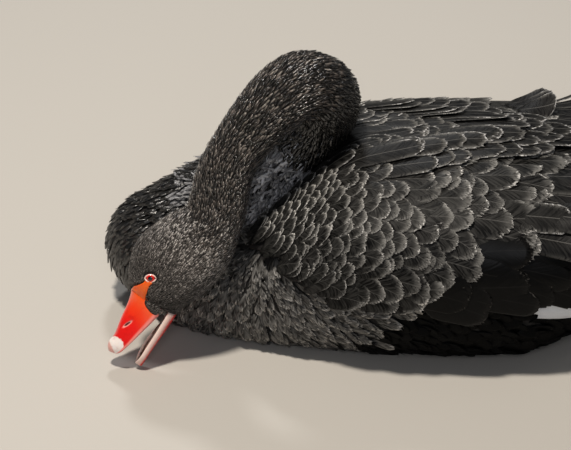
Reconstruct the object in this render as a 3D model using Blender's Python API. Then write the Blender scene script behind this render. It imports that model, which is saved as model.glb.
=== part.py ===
# Life-size black swan resting on its belly, its neck folded back over the shoulders
# and brought down the left side of the breast, with the open bill at the ground.
# Metres, +Z up. The bird faces -X and its left side is -Y. The origin is the middle of
# the flat on which the belly rests.

import math
import random

import bmesh
import bpy
import numpy as np
from mathutils import Matrix, Vector

GAP = 0.0003             # between nodes that meet
CUT_GAP = 0.0004         # by which a cutter is larger than the node it makes room for

# Body, along X
BREAST_X = -0.262        # front of the body, inside the neck's bulge
WIDEST_X = 0.045
RUMP_X = 0.292
BODY_HALF_WIDTH = 0.1545
WING_LAYER = 0.0105      # folded wing over the body
SHOULDER_LOW = 0.088     # top of the body in front of the shoulders
BACK_TOP = 0.2025
RUMP_TOP = 0.1140
RUMP_BOTTOM = 0.0860
BELLY_SINK = 0.012       # how far the belly is pressed flat by the ground
TOP_EXPONENT = 2.4
LOW_EXPONENT = 3.2
BODY_SIDES = 24

# Folded wings
WING_REAR_X = 0.385
WING_TIP_TOP = 0.137
WING_HALF_WIDTH = BODY_HALF_WIDTH + WING_LAYER
ARM_FRONT_X = -0.168
ARM_REAR_X = 0.130
ARM_DEPTH = 0.012
VANE_RACHIS = 0.0014     # thickness along the middle of a feather
VANE_EDGE = 0.0008

# Neck, as x, y, z and radius, from the bulge in front of the breast to the head
NECK_COURSE = (
    (-0.2525, 0.014, 0.0655, 0.0645),
    (-0.2155, 0.013, 0.0965, 0.0590),
    (-0.1750, 0.011, 0.1320, 0.0520),
    (-0.1312, 0.010, 0.1747, 0.0455),
    (-0.0983, 0.006, 0.2110, 0.0410),
    (-0.0815, -0.008, 0.2460, 0.0380),
    (-0.0850, -0.027, 0.2740, 0.0370),
    (-0.1030, -0.041, 0.2875, 0.0370),
    (-0.1250, -0.050, 0.2775, 0.0355),
    (-0.1464, -0.057, 0.2560, 0.0330),
    (-0.1683, -0.064, 0.2280, 0.0300),
    (-0.1850, -0.073, 0.1930, 0.0310),
)
NECK_SIDES = 16
NECK_RINGS = 46
NECK_CUTS = (13, 22, 34)  # rings at which the neck is parted into lengths

# Head, in its own frame: x forward along the bill's cutting edge, y left, z up
GAPE = Vector((-0.2461, -0.1171, 0.0601))
HEAD_FORWARD = Vector((-0.713, -0.200, -0.672))
HEAD_UP = Vector((-0.699, 0.256, 0.668))
HEAD_SCALE = 1.04
HEAD_SIDES = NECK_SIDES
# Each section: middle x and z, half height, half width, lean in degrees
NAPE = (-0.0960, 0.0316, 0.0322, 0.0322, 13)
HEAD_SECTIONS = (
    (-0.0830, 0.0308, 0.0380, 0.0330, 14),
    (-0.0690, 0.0300, 0.0420, 0.0335, 13),
    (-0.0510, 0.0292, 0.0445, 0.0335, 11),
    (-0.0330, 0.0280, 0.0430, 0.0318, 10),
    (-0.0160, 0.0240, 0.0372, 0.0288, 13),
    (-0.0060, 0.0205, 0.0318, 0.0242, 14),
    (0.0007, 0.0137, 0.0287, 0.0185, 14.6),
)
EYE = Vector((-0.0196, 0.0224, 0.0366))
EYE_RADIUS = 0.0068

# Bill: culmen x and z, cutting edge x and z, half width
UPPER_BILL = (
    (0.0080, 0.0405, -0.0028, 0.0002, 0.0172),
    (0.0160, 0.0350, 0.0080, -0.0006, 0.0163),
    (0.0260, 0.0306, 0.0190, -0.0004, 0.0153),
    (0.0360, 0.0270, 0.0300, 0.0002, 0.0146),
    (0.0460, 0.0226, 0.0400, 0.0006, 0.0141),
    (0.0540, 0.0196, 0.0480, 0.0009, 0.0135),
    (0.0610, 0.0190, 0.0550, 0.0011, 0.0122),
    (0.0670, 0.0160, 0.0610, 0.0014, 0.0095),
    (0.0705, 0.0110, 0.0665, 0.0030, 0.0050),
)
NOSTRIL = Vector((0.0340, 0.0122, 0.0200))
LOWER_BILL_DROP = math.radians(14.5)
LOWER_BILL_LENGTH = 0.065
LOWER_BILL_WALL = 0.0024

SEED = 7


def clear_scene():
    for obj in list(bpy.data.objects):
        bpy.data.objects.remove(obj, do_unlink=True)


def collection(name):
    made = bpy.data.collections.new(name)
    bpy.context.scene.collection.children.link(made)
    return made


def material(name, colour, roughness, metallic=0.0):
    made = bpy.data.materials.new(name)
    made.use_nodes = True
    shader = made.node_tree.nodes["Principled BSDF"]
    shader.inputs["Base Color"].default_value = (*colour, 1.0)
    shader.inputs["Roughness"].default_value = roughness
    shader.inputs["Metallic"].default_value = metallic
    return made


def mesh_object(name, points, faces, finish, home):
    """A closed mesh from points and faces, with its normals turned outwards."""
    mesh = bpy.data.meshes.new(name)
    mesh.from_pydata([tuple(p) for p in points], [], [tuple(f) for f in faces])
    solid = bmesh.new()
    solid.from_mesh(mesh)
    bmesh.ops.recalc_face_normals(solid, faces=solid.faces)
    solid.to_mesh(mesh)
    solid.free()
    mesh.materials.append(finish)
    made = bpy.data.objects.new(name, mesh)
    home.objects.link(made)
    return made


def loft(name, rings, finish, home, smooth=True):
    """A closed body through rings of points; a ring of one point closes an end."""
    points, starts = [], []
    for ring in rings:
        starts.append(len(points))
        points.extend(ring)
    faces = []
    for first, second, a, b in zip(rings, rings[1:], starts, starts[1:]):
        sides = max(len(first), len(second))
        for i in range(sides):
            j = (i + 1) % sides
            if len(first) == 1:
                faces.append((a, b + i, b + j))
            elif len(second) == 1:
                faces.append((a + i, a + j, b))
            else:
                faces.append((a + i, a + j, b + j, b + i))
    for ring, start in ((rings[0], starts[0]), (rings[-1], starts[-1])):
        if len(ring) > 1:
            faces.append(tuple(range(start, start + len(ring))))
    made = mesh_object(name, points, faces, finish, home)
    if smooth:
        made.data.shade_smooth()
        made.data.set_sharp_from_angle(angle=math.radians(50))
    return made


def bake_modifiers(obj):
    """Makes what the modifiers show the object's own mesh."""
    bpy.context.view_layer.update()
    graph = bpy.context.evaluated_depsgraph_get()
    shown = bpy.data.meshes.new_from_object(obj.evaluated_get(graph))
    obj.modifiers.clear()
    obj.data = shown


def keep_largest(obj):
    """Leaves only the largest closed surface of a mesh."""
    solid = bmesh.new()
    solid.from_mesh(obj.data)
    unseen = set(solid.faces)
    shells = []
    while unseen:
        shell, edge_faces = [], [unseen.pop()]
        while edge_faces:
            face = edge_faces.pop()
            shell.append(face)
            for edge in face.edges:
                for other in edge.link_faces:
                    if other in unseen:
                        unseen.remove(other)
                        edge_faces.append(other)
        shells.append(shell)
    shells.sort(key=lambda shell: sum(face.calc_area() for face in shell))
    spare = [face for shell in shells[:-1] for face in shell]
    bmesh.ops.delete(solid, geom=spare, context="FACES")
    solid.to_mesh(obj.data)
    solid.free()


def join_all(base, pieces, solver="MANIFOLD"):
    """Fuses the pieces of a collection onto base and removes them."""
    union = base.modifiers.new("join", "BOOLEAN")
    union.operation = "UNION"
    union.operand_type = "COLLECTION"
    union.collection = pieces
    union.solver = solver
    bake_modifiers(base)
    for piece in list(pieces.objects):
        bpy.data.objects.remove(piece, do_unlink=True)
    keep_largest(base)
    return base


def cut(base, cutters, solver="MANIFOLD"):
    """Takes each cutter away from base."""
    for cutter in cutters:
        difference = base.modifiers.new("cut", "BOOLEAN")
        difference.operation = "DIFFERENCE"
        difference.object = cutter
        difference.solver = solver
    bake_modifiers(base)
    keep_largest(base)
    return base


def as_cutter(obj):
    obj.hide_render = True
    obj.display_type = "WIRE"
    return obj


def spline(points, count):
    """Points at even steps along the natural cubic spline through the given points."""
    knots = np.asarray(points, float)
    steps = np.linalg.norm(np.diff(knots[:, :3], axis=0), axis=1)
    at = np.concatenate([[0], np.cumsum(steps)])
    size = len(knots)
    system, right = np.eye(size), np.zeros_like(knots)
    for i in range(1, size - 1):
        before, after = steps[i - 1], steps[i]
        system[i, i - 1 : i + 2] = before, 2 * (before + after), after
        slope_after = (knots[i + 1] - knots[i]) / after
        right[i] = 6 * (slope_after - (knots[i] - knots[i - 1]) / before)
    bend = np.linalg.solve(system, right)
    fine = np.linspace(0, at[-1], 40 * count)
    piece = np.clip(np.searchsorted(at, fine, side="right") - 1, 0, size - 2)
    h = steps[piece][:, None]
    u = (at[piece + 1] - fine)[:, None]
    v = (fine - at[piece])[:, None]
    curve = (
        bend[piece] * u**3 / (6 * h)
        + bend[piece + 1] * v**3 / (6 * h)
        + (knots[piece] / h - bend[piece] * h / 6) * u
        + (knots[piece + 1] / h - bend[piece + 1] * h / 6) * v
    )
    length = np.concatenate(
        [[0], np.cumsum(np.linalg.norm(np.diff(curve[:, :3], axis=0), axis=1))]
    )
    even = np.linspace(0, length[-1], count)
    return np.stack([np.interp(even, length, curve[:, k]) for k in range(4)], 1)


# Shape of the body


def smooth_step(t):
    t = min(max(t, 0.0), 1.0)
    return t * t * (3 - 2 * t)


def front_taper(x):
    """Share of the full width in front of the widest place: an ogive."""
    reach = (WIDEST_X - x) / (WIDEST_X - (BREAST_X - 0.055))
    return math.cos(math.pi / 2 * min(max(reach, 0.0), 1.0)) ** 0.78


def shoulder_rise(x):
    return smooth_step((x + 0.235) / 0.205)


def body_width(x):
    if x < WIDEST_X:
        return BODY_HALF_WIDTH * front_taper(x)
    reach = 0.975 * (x - WIDEST_X) / (RUMP_X - WIDEST_X)
    return BODY_HALF_WIDTH * (1 - reach**2.2) ** 0.6


def body_top(x):
    top = SHOULDER_LOW + (BACK_TOP - SHOULDER_LOW) * shoulder_rise(x)
    reach = min(max((x - 0.03) / (RUMP_X - 0.03), 0.0), 1.0)
    return top - (BACK_TOP - RUMP_TOP) * reach**1.9


def body_bottom(x):
    front = min(max((-0.205 - x) / 0.09, 0.0), 1.0)
    rear = min(max((x - 0.125) / (RUMP_X - 0.125), 0.0), 1.0)
    return -BELLY_SINK + 0.05 * front**2 + (RUMP_BOTTOM + BELLY_SINK) * rear**1.5


def body_waist(x):
    return body_bottom(x) + 0.48 * (body_top(x) - body_bottom(x))


def section(x, half_width, top, bottom, waist, sides, turn=(0.0, 2 * math.pi)):
    """Points round a body section at x, from the left side over the back."""
    ring = []
    for i in range(sides):
        angle = math.pi + turn[0] - (turn[1] - turn[0]) * i / sides
        across, up = math.cos(angle), math.sin(angle)
        power = 2 / (TOP_EXPONENT if up > 0 else LOW_EXPONENT)
        y = math.copysign(half_width * abs(across) ** power, across)
        rise = abs(up) ** power
        z = waist + (top - waist) * rise if up > 0 else waist - (waist - bottom) * rise
        ring.append((x, y, max(z, 0.0)))
    return ring


def body_rings(grow=0.0, stations=16):
    rings = []
    for i in range(stations + 1):
        share = 0.5 - 0.5 * math.cos(math.pi * i / stations)
        x = BREAST_X - grow + (RUMP_X - BREAST_X + 2 * grow) * (0.35 * share + 0.65 * i / stations)
        near = min(max(x, BREAST_X), RUMP_X - 0.0015)
        width = body_width(near) + grow
        ring = section(
            x,
            width,
            body_top(near) + grow,
            body_bottom(near) - grow,
            body_waist(near),
            BODY_SIDES,
        )
        rings.append(ring)
    return rings


def torso_mesh(name, finish, home, grow=0.0):
    return loft(name, body_rings(grow), finish, home)


# Shape of the folded wings' outer face


def wing_width(x):
    if x < WIDEST_X:
        return WING_HALF_WIDTH * front_taper(x)
    reach = min((x - WIDEST_X) / (WING_REAR_X - WIDEST_X), 0.975)
    return WING_HALF_WIDTH * (1 - reach**2.3) ** 0.7


def wing_top(x):
    top = SHOULDER_LOW + (BACK_TOP - SHOULDER_LOW) * shoulder_rise(x) + WING_LAYER
    reach = min(max((x - 0.06) / (WING_REAR_X - 0.06), 0.0), 1.0)
    return top - (BACK_TOP + WING_LAYER - WING_TIP_TOP) * reach**1.7


def wing_waist(x):
    along = min(max((x + 0.17) / (WING_REAR_X + 0.17), 0.0), 1.0)
    return 0.082 + 0.030 * along


WING_SAMPLES = 60
WING_LOWEST = math.radians(-62)


def wing_section(x):
    """Distance down from the spine, and y and z, along the wing's outer face at x."""
    width, top, waist = wing_width(x), wing_top(x), wing_waist(x)
    angle = np.linspace(math.pi / 2, WING_LOWEST, WING_SAMPLES)
    power = np.where(angle > 0, 2 / TOP_EXPONENT, 2 / LOW_EXPONENT)
    y = -width * np.abs(np.cos(angle)) ** power
    rise = np.abs(np.sin(angle)) ** power
    z = np.where(angle > 0, waist + (top - waist) * rise, waist - 0.062 * rise)
    run = np.concatenate([[0], np.cumsum(np.hypot(np.diff(y), np.diff(z)))])
    return run, y, z


def wing_surface(x, down):
    run, y, z = wing_section(x)
    return Vector((x, np.interp(down, run, y), np.interp(down, run, z)))


def wing_point(x, down, height):
    """A point over the left wing's outer face: x, distance down from the spine, and
    height above the face."""
    step = 0.003
    here = wing_surface(x, down)
    along = wing_surface(x + step, down) - wing_surface(x - step, down)
    across = wing_surface(x, down + step) - wing_surface(x, max(down - step, 0.0))
    outward = across.cross(along).normalized()
    return here + outward * height


def arm_upper_edge(x):
    """The arm's upper border: along the neck in front, then beside the spine."""
    return 0.016 + 0.074 * (1 - smooth_step((x - ARM_FRONT_X) / 0.165))


def arm_lower_edge(x):
    reach = min(max((x - ARM_FRONT_X) / 0.17, 0.0), 1.0)
    return 0.096 + 0.138 * math.sin(math.pi / 2 * reach) ** 0.8


# Feathers


VANE_STATIONS = ((0.0, 0.50), (0.38, 0.94), (0.78, 0.98), (1.0, 0.36))


def vane(name, finish, home, start, heading, length, half_width, low, high,
         tilt=0.0018, curl=0.0, surface=wing_point):
    """One feather over a surface: it leaves the surface at start, runs at an angle to
    the body's line, and rises from low to high above it. Tilt lifts its lower edge over
    the next feather, and curl turns its end up."""
    points = []
    forward = (math.cos(heading), math.sin(heading))
    for share, spread in VANE_STATIONS:
        x = start[0] + forward[0] * length * share
        down = start[1] + forward[1] * length * share
        rise = low + (high - low) * share + curl * share**3
        reach = half_width * spread
        corners = []
        for side in (-1, 0, 1):
            thick = VANE_RACHIS if side == 0 else VANE_EDGE
            lift = rise + tilt * side * spread + (0.0004 if side == 0 else 0.0)
            place = (x - forward[1] * reach * side, down + forward[0] * reach * side)
            corners.append((place, lift, thick / 2))
        points.extend(surface(*place, lift + thick) for place, lift, thick in corners)
        points.extend(surface(*place, lift - thick) for place, lift, thick in corners)
    faces = [(0, 1, 4), (0, 4, 3), (1, 2, 5), (1, 5, 4)]
    last = 6 * (len(VANE_STATIONS) - 1)
    faces += [tuple(last + i for i in face[::-1]) for face in faces[:4]]
    for ring in range(len(VANE_STATIONS) - 1):
        a, b = 6 * ring, 6 * ring + 6
        for left, right in ((0, 1), (1, 2)):
            for offset in (0, 3):
                faces.append((a + left + offset, a + right + offset, b + right + offset))
                faces.append((a + left + offset, b + right + offset, b + left + offset))
        for edge in (0, 2):
            faces.append((a + edge, a + edge + 3, b + edge + 3))
            faces.append((a + edge, b + edge + 3, b + edge))
    return mesh_object(name, points, faces, finish, home)


def mirrored(point):
    return Vector((point.x, -point.y, point.z))


def tiers(name, finish, home, rows, side, surface=wing_point):
    """Rows of feathers: each row is (how many, start x first and last, start down first
    and last, heading first and last, length first and last, half width, low, high, curl)."""
    draw = random.Random(SEED)
    place = surface if side < 0 else (lambda *spot: mirrored(surface(*spot)))
    for row, tier in enumerate(rows):
        count, xs, downs, headings, lengths, half_width, low, high, curl = tier
        for i in range(count):
            share = i / max(count - 1, 1)
            vary = 1 + 0.05 * (draw.random() - 0.5)
            vane(
                f"{name}_{row}_{i}", finish, home,
                (xs[0] + (xs[1] - xs[0]) * share, downs[0] + (downs[1] - downs[0]) * share),
                math.radians(headings[0] + (headings[1] - headings[0]) * share),
                (lengths[0] + (lengths[1] - lengths[0]) * share) * vary,
                half_width, low, high, curl=curl, surface=place,
            )


COVERT_TIERS = (
    # lesser coverts, scapulars, middle coverts, great coverts, tertials
    (5, (-0.118, -0.062), (0.158, 0.086), (6, 2), (0.074, 0.082), 0.0175, -0.0060, 0.0042, 0.0),
    (4, (-0.058, -0.012), (0.078, 0.034), (-2, -2), (0.122, 0.140), 0.0205, -0.0060, 0.0056, 0.012),
    (7, (-0.056, 0.000), (0.208, 0.088), (3, 0), (0.082, 0.088), 0.0172, -0.0060, 0.0046, 0.0),
    (7, (0.034, 0.064), (0.222, 0.104), (3, 0), (0.102, 0.126), 0.0182, -0.0060, 0.0042, 0.0),
    (6, (0.085, 0.104), (0.132, 0.032), (0, -1), (0.152, 0.186), 0.0220, -0.0050, 0.0048, 0.020),
)


def arm_mesh(name, finish, home, side):
    """The feathered arm and shoulder as a low pad over the body's side."""
    stations, across = 9, 6
    rings = []
    for i in range(stations):
        share = i / (stations - 1)
        x = ARM_FRONT_X + (ARM_REAR_X - ARM_FRONT_X) * share
        top, low = arm_upper_edge(x), arm_lower_edge(x)
        outer, inner = [], []
        for j in range(across):
            part = j / (across - 1)
            down = top + (low - top) * part
            edge = min(part, 1 - part, 0.2) / 0.2
            height = -0.0030 - 0.0050 * (1 - edge) - 0.0050 * max(1 - share / 0.12, 0.0)
            outer.append(wing_point(x, down, height))
            inner.append(wing_point(x, down, -ARM_DEPTH - 0.004))
        ring = outer + inner[::-1]
        if i == stations - 1:
            ring = [Vector((x, p.y, p.z)) for p in ring]
        rings.append(ring)
    if side > 0:
        rings = [[mirrored(p) for p in ring] for ring in rings]
    return loft(name, rings, finish, home)


def wing(name, finish, home, side, cutters):
    base = arm_mesh(name, finish, home, side)
    feathers = collection(name + "_feathers")
    tiers(name, finish, feathers, COVERT_TIERS, side)
    join_all(base, feathers)
    bpy.data.collections.remove(feathers)
    return cut(base, cutters)


FLIGHT_TIERS = (
    # secondaries, then primaries
    (5, (0.141, 0.141), (0.244, 0.176), (1, -3), (0.105, 0.135), 0.0175, -0.0088, -0.0058, 0.0),
    (6, (0.141, 0.141), (0.160, 0.085), (-5, -5), (0.170, 0.215), 0.0150, -0.0090, -0.0062, 0.0),
)
FLIGHT_BAR_X = (ARM_REAR_X + GAP, 0.150)


def flight_feathers(name, finish, home, side, cutters):
    """The white feathers of the hand and forearm, growing from a bar behind the arm."""
    downs = [0.070 + 0.184 * k / 6 for k in range(7)]
    rings = []
    for x in FLIGHT_BAR_X:
        outer = [wing_point(x, down, -0.0066) for down in downs]
        inner = [wing_point(x, down, -0.0150) for down in downs[::-1]]
        ring = [Vector((x, p.y, p.z)) for p in outer + inner]
        rings.append(ring if side < 0 else [mirrored(p) for p in ring])
    base = loft(name, rings, finish, home, smooth=False)
    feathers = collection(name + "_feathers")
    tiers(name, finish, feathers, FLIGHT_TIERS, side)
    join_all(base, feathers)
    bpy.data.collections.remove(feathers)
    return cut(base, cutters)


TAIL_ROOT = Vector((0.262, 0.0, 0.098))
TAIL_COUNT = 12
TAIL_SPREAD = math.radians(30)


def tail_point(x, across, height):
    """Over the tail's gently arched face: x, distance to the left, and height."""
    arch = 0.25 * across * across / 0.06
    drop = 0.10 * max(x - TAIL_ROOT.x, 0.0)
    return Vector((x, -across, TAIL_ROOT.z + height - arch - drop))


def tail(name, finish, home, cutters):
    rings = []
    for x, half_width, half_height in (
        (0.236, 0.044, 0.017), (0.262, 0.046, 0.015), (0.290, 0.043, 0.009), (0.306, 0.036, 0.004),
    ):
        ring = []
        for i in range(14):
            angle = 2 * math.pi * i / 14
            ring.append(
                tail_point(x, half_width * math.cos(angle), half_height * math.sin(angle))
            )
        rings.append(ring)
    base = loft(name, rings, finish, home)
    feathers = collection(name + "_feathers")
    draw = random.Random(SEED)
    for i in range(TAIL_COUNT):
        share = 2 * i / (TAIL_COUNT - 1) - 1
        vane(
            f"{name}_{i}", finish, feathers,
            (0.276, 0.031 * share), TAIL_SPREAD * share,
            0.098 - 0.020 * share * share + 0.003 * draw.random(),
            0.0125, 0.0, 0.0035 * (1 - abs(share)), tilt=0.0016, surface=tail_point,
        )
    join_all(base, feathers)
    bpy.data.collections.remove(feathers)
    return cut(base, cutters)


# Neck and head


def head_axes():
    forward = HEAD_FORWARD.normalized()
    up = (HEAD_UP - forward * HEAD_UP.dot(forward)).normalized()
    return forward, up.cross(forward), up


def head_point(x, y, z):
    forward, left, up = head_axes()
    return GAPE + HEAD_SCALE * (forward * x + left * y + up * z)


def neck_path():
    """The neck's rings from the bulge to the nape, as centre, tangent, up and radius."""
    ends = [
        (*head_point(NAPE[0], 0, NAPE[1]), NAPE[2] * HEAD_SCALE),
        (*head_point(HEAD_SECTIONS[1][0], 0, HEAD_SECTIONS[1][1]), 0.036),
    ]
    course = spline([*NECK_COURSE, *ends], 3 * NECK_RINGS)
    centres = [Vector(row[:3]) for row in course]
    nape = min(range(len(centres)), key=lambda i: (centres[i] - Vector(ends[0][:3])).length)
    chosen = np.linspace(0, nape, NECK_RINGS)
    rows = np.stack(
        [np.interp(chosen, np.arange(len(course)), course[:, k]) for k in range(4)], 1
    )
    centres = [Vector(row[:3]) for row in rows]
    after = Vector(course[min(nape + 1, len(course) - 1)][:3])
    tangents = []
    for i in range(NECK_RINGS):
        ahead = centres[i + 1] if i + 1 < NECK_RINGS else after
        behind = centres[max(i - 1, 0)]
        tangents.append((ahead - behind).normalized())
    ups = [None] * NECK_RINGS
    up = head_axes()[2]
    for i in reversed(range(NECK_RINGS)):
        up = (up - tangents[i] * up.dot(tangents[i])).normalized()
        ups[i] = up
    return [
        (centres[i], tangents[i], ups[i], float(rows[i][3])) for i in range(NECK_RINGS)
    ]


def neck_ring(place, shift=0.0, grow=0.0):
    centre, tangent, up, radius = place
    left = up.cross(tangent)
    ring = []
    for i in range(NECK_SIDES):
        angle = 2 * math.pi * i / NECK_SIDES
        spoke = up * math.cos(angle) + left * math.sin(angle)
        ring.append(centre + tangent * shift + spoke * (radius + grow))
    return ring


def bulge_rings(place, grow=0.0):
    """The round front end of the neck's bulge, from its pole to its first full ring."""
    centre, tangent, up, radius = place
    rings = [[centre - tangent * (radius + grow)]]
    for degrees in (22, 44, 66):
        lean = math.radians(degrees)
        shrunk = (centre, tangent, up, radius * math.sin(lean))
        shift = -(radius + grow) * math.cos(lean)
        rings.append(neck_ring(shrunk, shift, grow * math.sin(lean)))
    return rings


def neck_lengths(finish, home, path):
    """The neck as four lengths, parted across its line by a thin gap."""
    names = ("neck_base", "neck_lower", "neck_loop", "neck_upper")
    bounds = (0, *NECK_CUTS, NECK_RINGS - 1)
    made = {}
    for name, first, last in zip(names, bounds, bounds[1:]):
        rings = bulge_rings(path[0]) if first == 0 else []
        for i in range(first, last + 1):
            shift = 0.0
            if i == first and first > 0:
                shift = GAP / 2
            if i == last:
                shift = -GAP / 2
            rings.append(neck_ring(path[i], shift))
        made[name] = loft(name, rings, finish, home)
    return made


def neck_cutter(name, finish, home, path, last):
    rings = bulge_rings(path[0], CUT_GAP)
    rings += [neck_ring(place, 0.0, CUT_GAP) for place in path[: last + 1]]
    return as_cutter(loft(name, rings, finish, home))


def head_ring(middle_x, middle_z, half_height, half_width, lean, sides=HEAD_SIDES):
    """A section of the head: fuller in the cheeks than at the crown."""
    tip = math.radians(lean)
    ring = []
    for i in range(sides):
        angle = 2 * math.pi * i / sides
        rise, across = math.cos(angle), math.sin(angle)
        y = half_width * across * (1 - 0.10 * rise)
        z = half_height * rise
        ring.append(head_point(middle_x + z * math.sin(tip), y, middle_z + z * math.cos(tip)))
    return ring


def head(finish, home, cutter_home, path):
    rings = [neck_ring(path[-1], GAP / 2)]
    rings += [head_ring(*row) for row in HEAD_SECTIONS]
    made = loft("head", rings, finish, home)
    lids = collection("lids")
    sockets = []
    for side in (-1, 1):
        middle = head_point(EYE.x, side * EYE.y, EYE.z)
        outward = (head_point(0, side, 0) - head_point(0, 0, 0)).normalized()
        bpy.ops.mesh.primitive_torus_add(
            major_radius=EYE_RADIUS * 0.95, minor_radius=0.0022,
            major_segments=14, minor_segments=6,
        )
        lid = bpy.context.object
        forward, _, up = head_axes()
        along = (forward - outward * forward.dot(outward)).normalized()
        rise = outward.cross(along)
        turn = Matrix((along, rise * 0.78, outward)).transposed().to_4x4()
        lid.data.transform(Matrix.Translation(middle + outward * 0.0050) @ turn)
        lid.data.materials.append(finish)
        for old in list(lid.users_collection):
            old.objects.unlink(lid)
        lids.objects.link(lid)
        sockets.append(sphere(f"socket_{side}", finish, cutter_home, middle, EYE_RADIUS + CUT_GAP))
        as_cutter(sockets[-1])
    join_all(made, lids, "EXACT")
    bpy.data.collections.remove(lids)
    return cut(made, sockets, "EXACT")


def sphere(name, finish, home, middle, radius, segments=12, rings=8):
    solid = bmesh.new()
    bmesh.ops.create_uvsphere(solid, u_segments=segments, v_segments=rings, radius=radius)
    mesh = bpy.data.meshes.new(name)
    solid.to_mesh(mesh)
    solid.free()
    mesh.transform(Matrix.Translation(middle))
    mesh.materials.append(finish)
    mesh.shade_smooth()
    made = bpy.data.objects.new(name, mesh)
    home.objects.link(made)
    return made


def face_x(z):
    """Where the bill meets the face: a plane that leans with the head's last section."""
    middle_x, middle_z, _, _, lean = HEAD_SECTIONS[-1]
    return middle_x + GAP + (z - middle_z) * math.tan(math.radians(lean))


def upper_bill(finish, home, cutter_home):
    """The upper bill: arched sections from the face to the hooked nail."""
    arch = 10
    rings = []
    for row, (top_x, top_z, edge_x, edge_z, half_width) in enumerate(UPPER_BILL):
        spots = []
        for i in range(arch + 1):
            angle = math.pi * i / arch
            rise = math.sin(angle) ** 0.85
            z = edge_z + (top_z - edge_z) * rise
            x = edge_x + (top_x - edge_x) * rise
            spots.append((x, -half_width * math.cos(angle), z))
        for across in (0.55, -0.55):
            spots.append((edge_x, half_width * across, edge_z + 0.0016))
        if row == 0:
            spots = [(face_x(z), y, z) for _, y, z in spots]
        rings.append([head_point(*spot) for spot in spots])
    made = loft("bill_upper", rings, finish, home)
    nostrils = []
    forward, left, up = head_axes()
    for side in (-1, 1):
        slit = sphere(f"nostril_{side}", finish, cutter_home, Vector((0, 0, 0)), 1.0, 12, 8)
        turn = Matrix((forward * 0.0046, left * 0.0042, up * 0.0017)).transposed().to_4x4()
        middle = head_point(NOSTRIL.x, side * NOSTRIL.y, NOSTRIL.z)
        slit.data.transform(Matrix.Translation(middle) @ turn)
        nostrils.append(as_cutter(slit))
    return cut(made, nostrils, "EXACT")


def lower_bill_spot(along, height):
    """The head's x and z of a place along the lower bill, which is dropped open."""
    lean = LOWER_BILL_DROP
    x = -0.0036 + along * math.cos(lean) + height * math.sin(lean)
    return x, -0.0018 - along * math.sin(lean) + height * math.cos(lean)


def lower_bill_point(along, across, height):
    x, z = lower_bill_spot(along, height)
    return head_point(x, across, z)


def lower_bill_width(share):
    return 0.0150 - 0.0045 * share - 0.0075 * max(share - 0.80, 0.0) ** 2 / 0.04


def lower_bill_depth(share):
    return 0.0088 - 0.0022 * share


def lower_bill(finish, home):
    """The lower bill: a trough with a rounded end."""
    turns = 8
    rings = []
    slope = math.tan(math.radians(HEAD_SECTIONS[-1][4]))
    for share in (0.0, 0.12, 0.3, 0.5, 0.7, 0.85, 0.94, 1.0):
        width, depth = lower_bill_width(share), lower_bill_depth(share)
        wall = LOWER_BILL_WALL
        ring = []
        for i in range(turns + 1):
            angle = math.pi * i / turns
            ring.append((width * math.cos(angle), -depth * math.sin(angle) ** 0.7))
        for i in reversed(range(turns + 1)):
            angle = math.pi * i / turns
            ring.append(
                ((width - wall) * math.cos(angle), -(depth - wall) * math.sin(angle) ** 0.7 * 0.8)
            )
        placed = []
        for across, height in ring:
            along = LOWER_BILL_LENGTH * share
            if share == 0.0:
                x, z = lower_bill_spot(0.0, height)
                reach = math.cos(LOWER_BILL_DROP) + slope * math.sin(LOWER_BILL_DROP)
                along = (face_x(z) - x) / reach
            placed.append(lower_bill_point(along, across, height))
        rings.append(placed)
    return loft("bill_lower", rings, finish, home)


def tongue(finish, home):
    rings = []
    for share, half_width in ((0.03, 0.0075), (0.25, 0.0080), (0.5, 0.0070), (0.68, 0.0050), (0.76, 0.0022)):
        floor = -(lower_bill_depth(share) - LOWER_BILL_WALL) * 0.8 + 0.0011
        ring = []
        for i in range(10):
            angle = 2 * math.pi * i / 10
            ring.append(
                lower_bill_point(
                    LOWER_BILL_LENGTH * share,
                    half_width * math.cos(angle),
                    floor + 0.0022 + 0.0018 * math.sin(angle),
                )
            )
        rings.append(ring)
    return loft("tongue", rings, finish, home)


# Legs and feet, folded under the belly


FOOT_Y = 0.0605
HEEL_X = 0.131
TOE_ROOT_X = 0.033
POCKET_HEIGHT = 0.034
TOES = ((-21, 0.104), (0, 0.122), (22, 0.106))   # direction in degrees and length


def rounded(angle):
    """A point of a rounded square, for an angle round it."""
    across, along = math.cos(angle), math.sin(angle)
    return math.copysign(abs(across) ** 0.5, across), math.copysign(abs(along) ** 0.5, along)


def pocket(name, finish, home, side):
    """The room in the belly that a folded leg and foot lie in."""
    middle_x = (HEEL_X + TOE_ROOT_X - TOES[1][1]) / 2 + 0.003
    rings = []
    for height, shrink in ((-0.02, 0.0), (0.016, 0.0), (0.028, 0.007), (POCKET_HEIGHT, 0.018)):
        ring = []
        for i in range(20):
            across, along = rounded(2 * math.pi * i / 20)
            x = middle_x + (0.128 - shrink) * across
            ring.append((x, side * FOOT_Y + (0.047 - shrink) * along, height))
        rings.append(ring)
    return as_cutter(loft(name, rings, finish, home))


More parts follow.
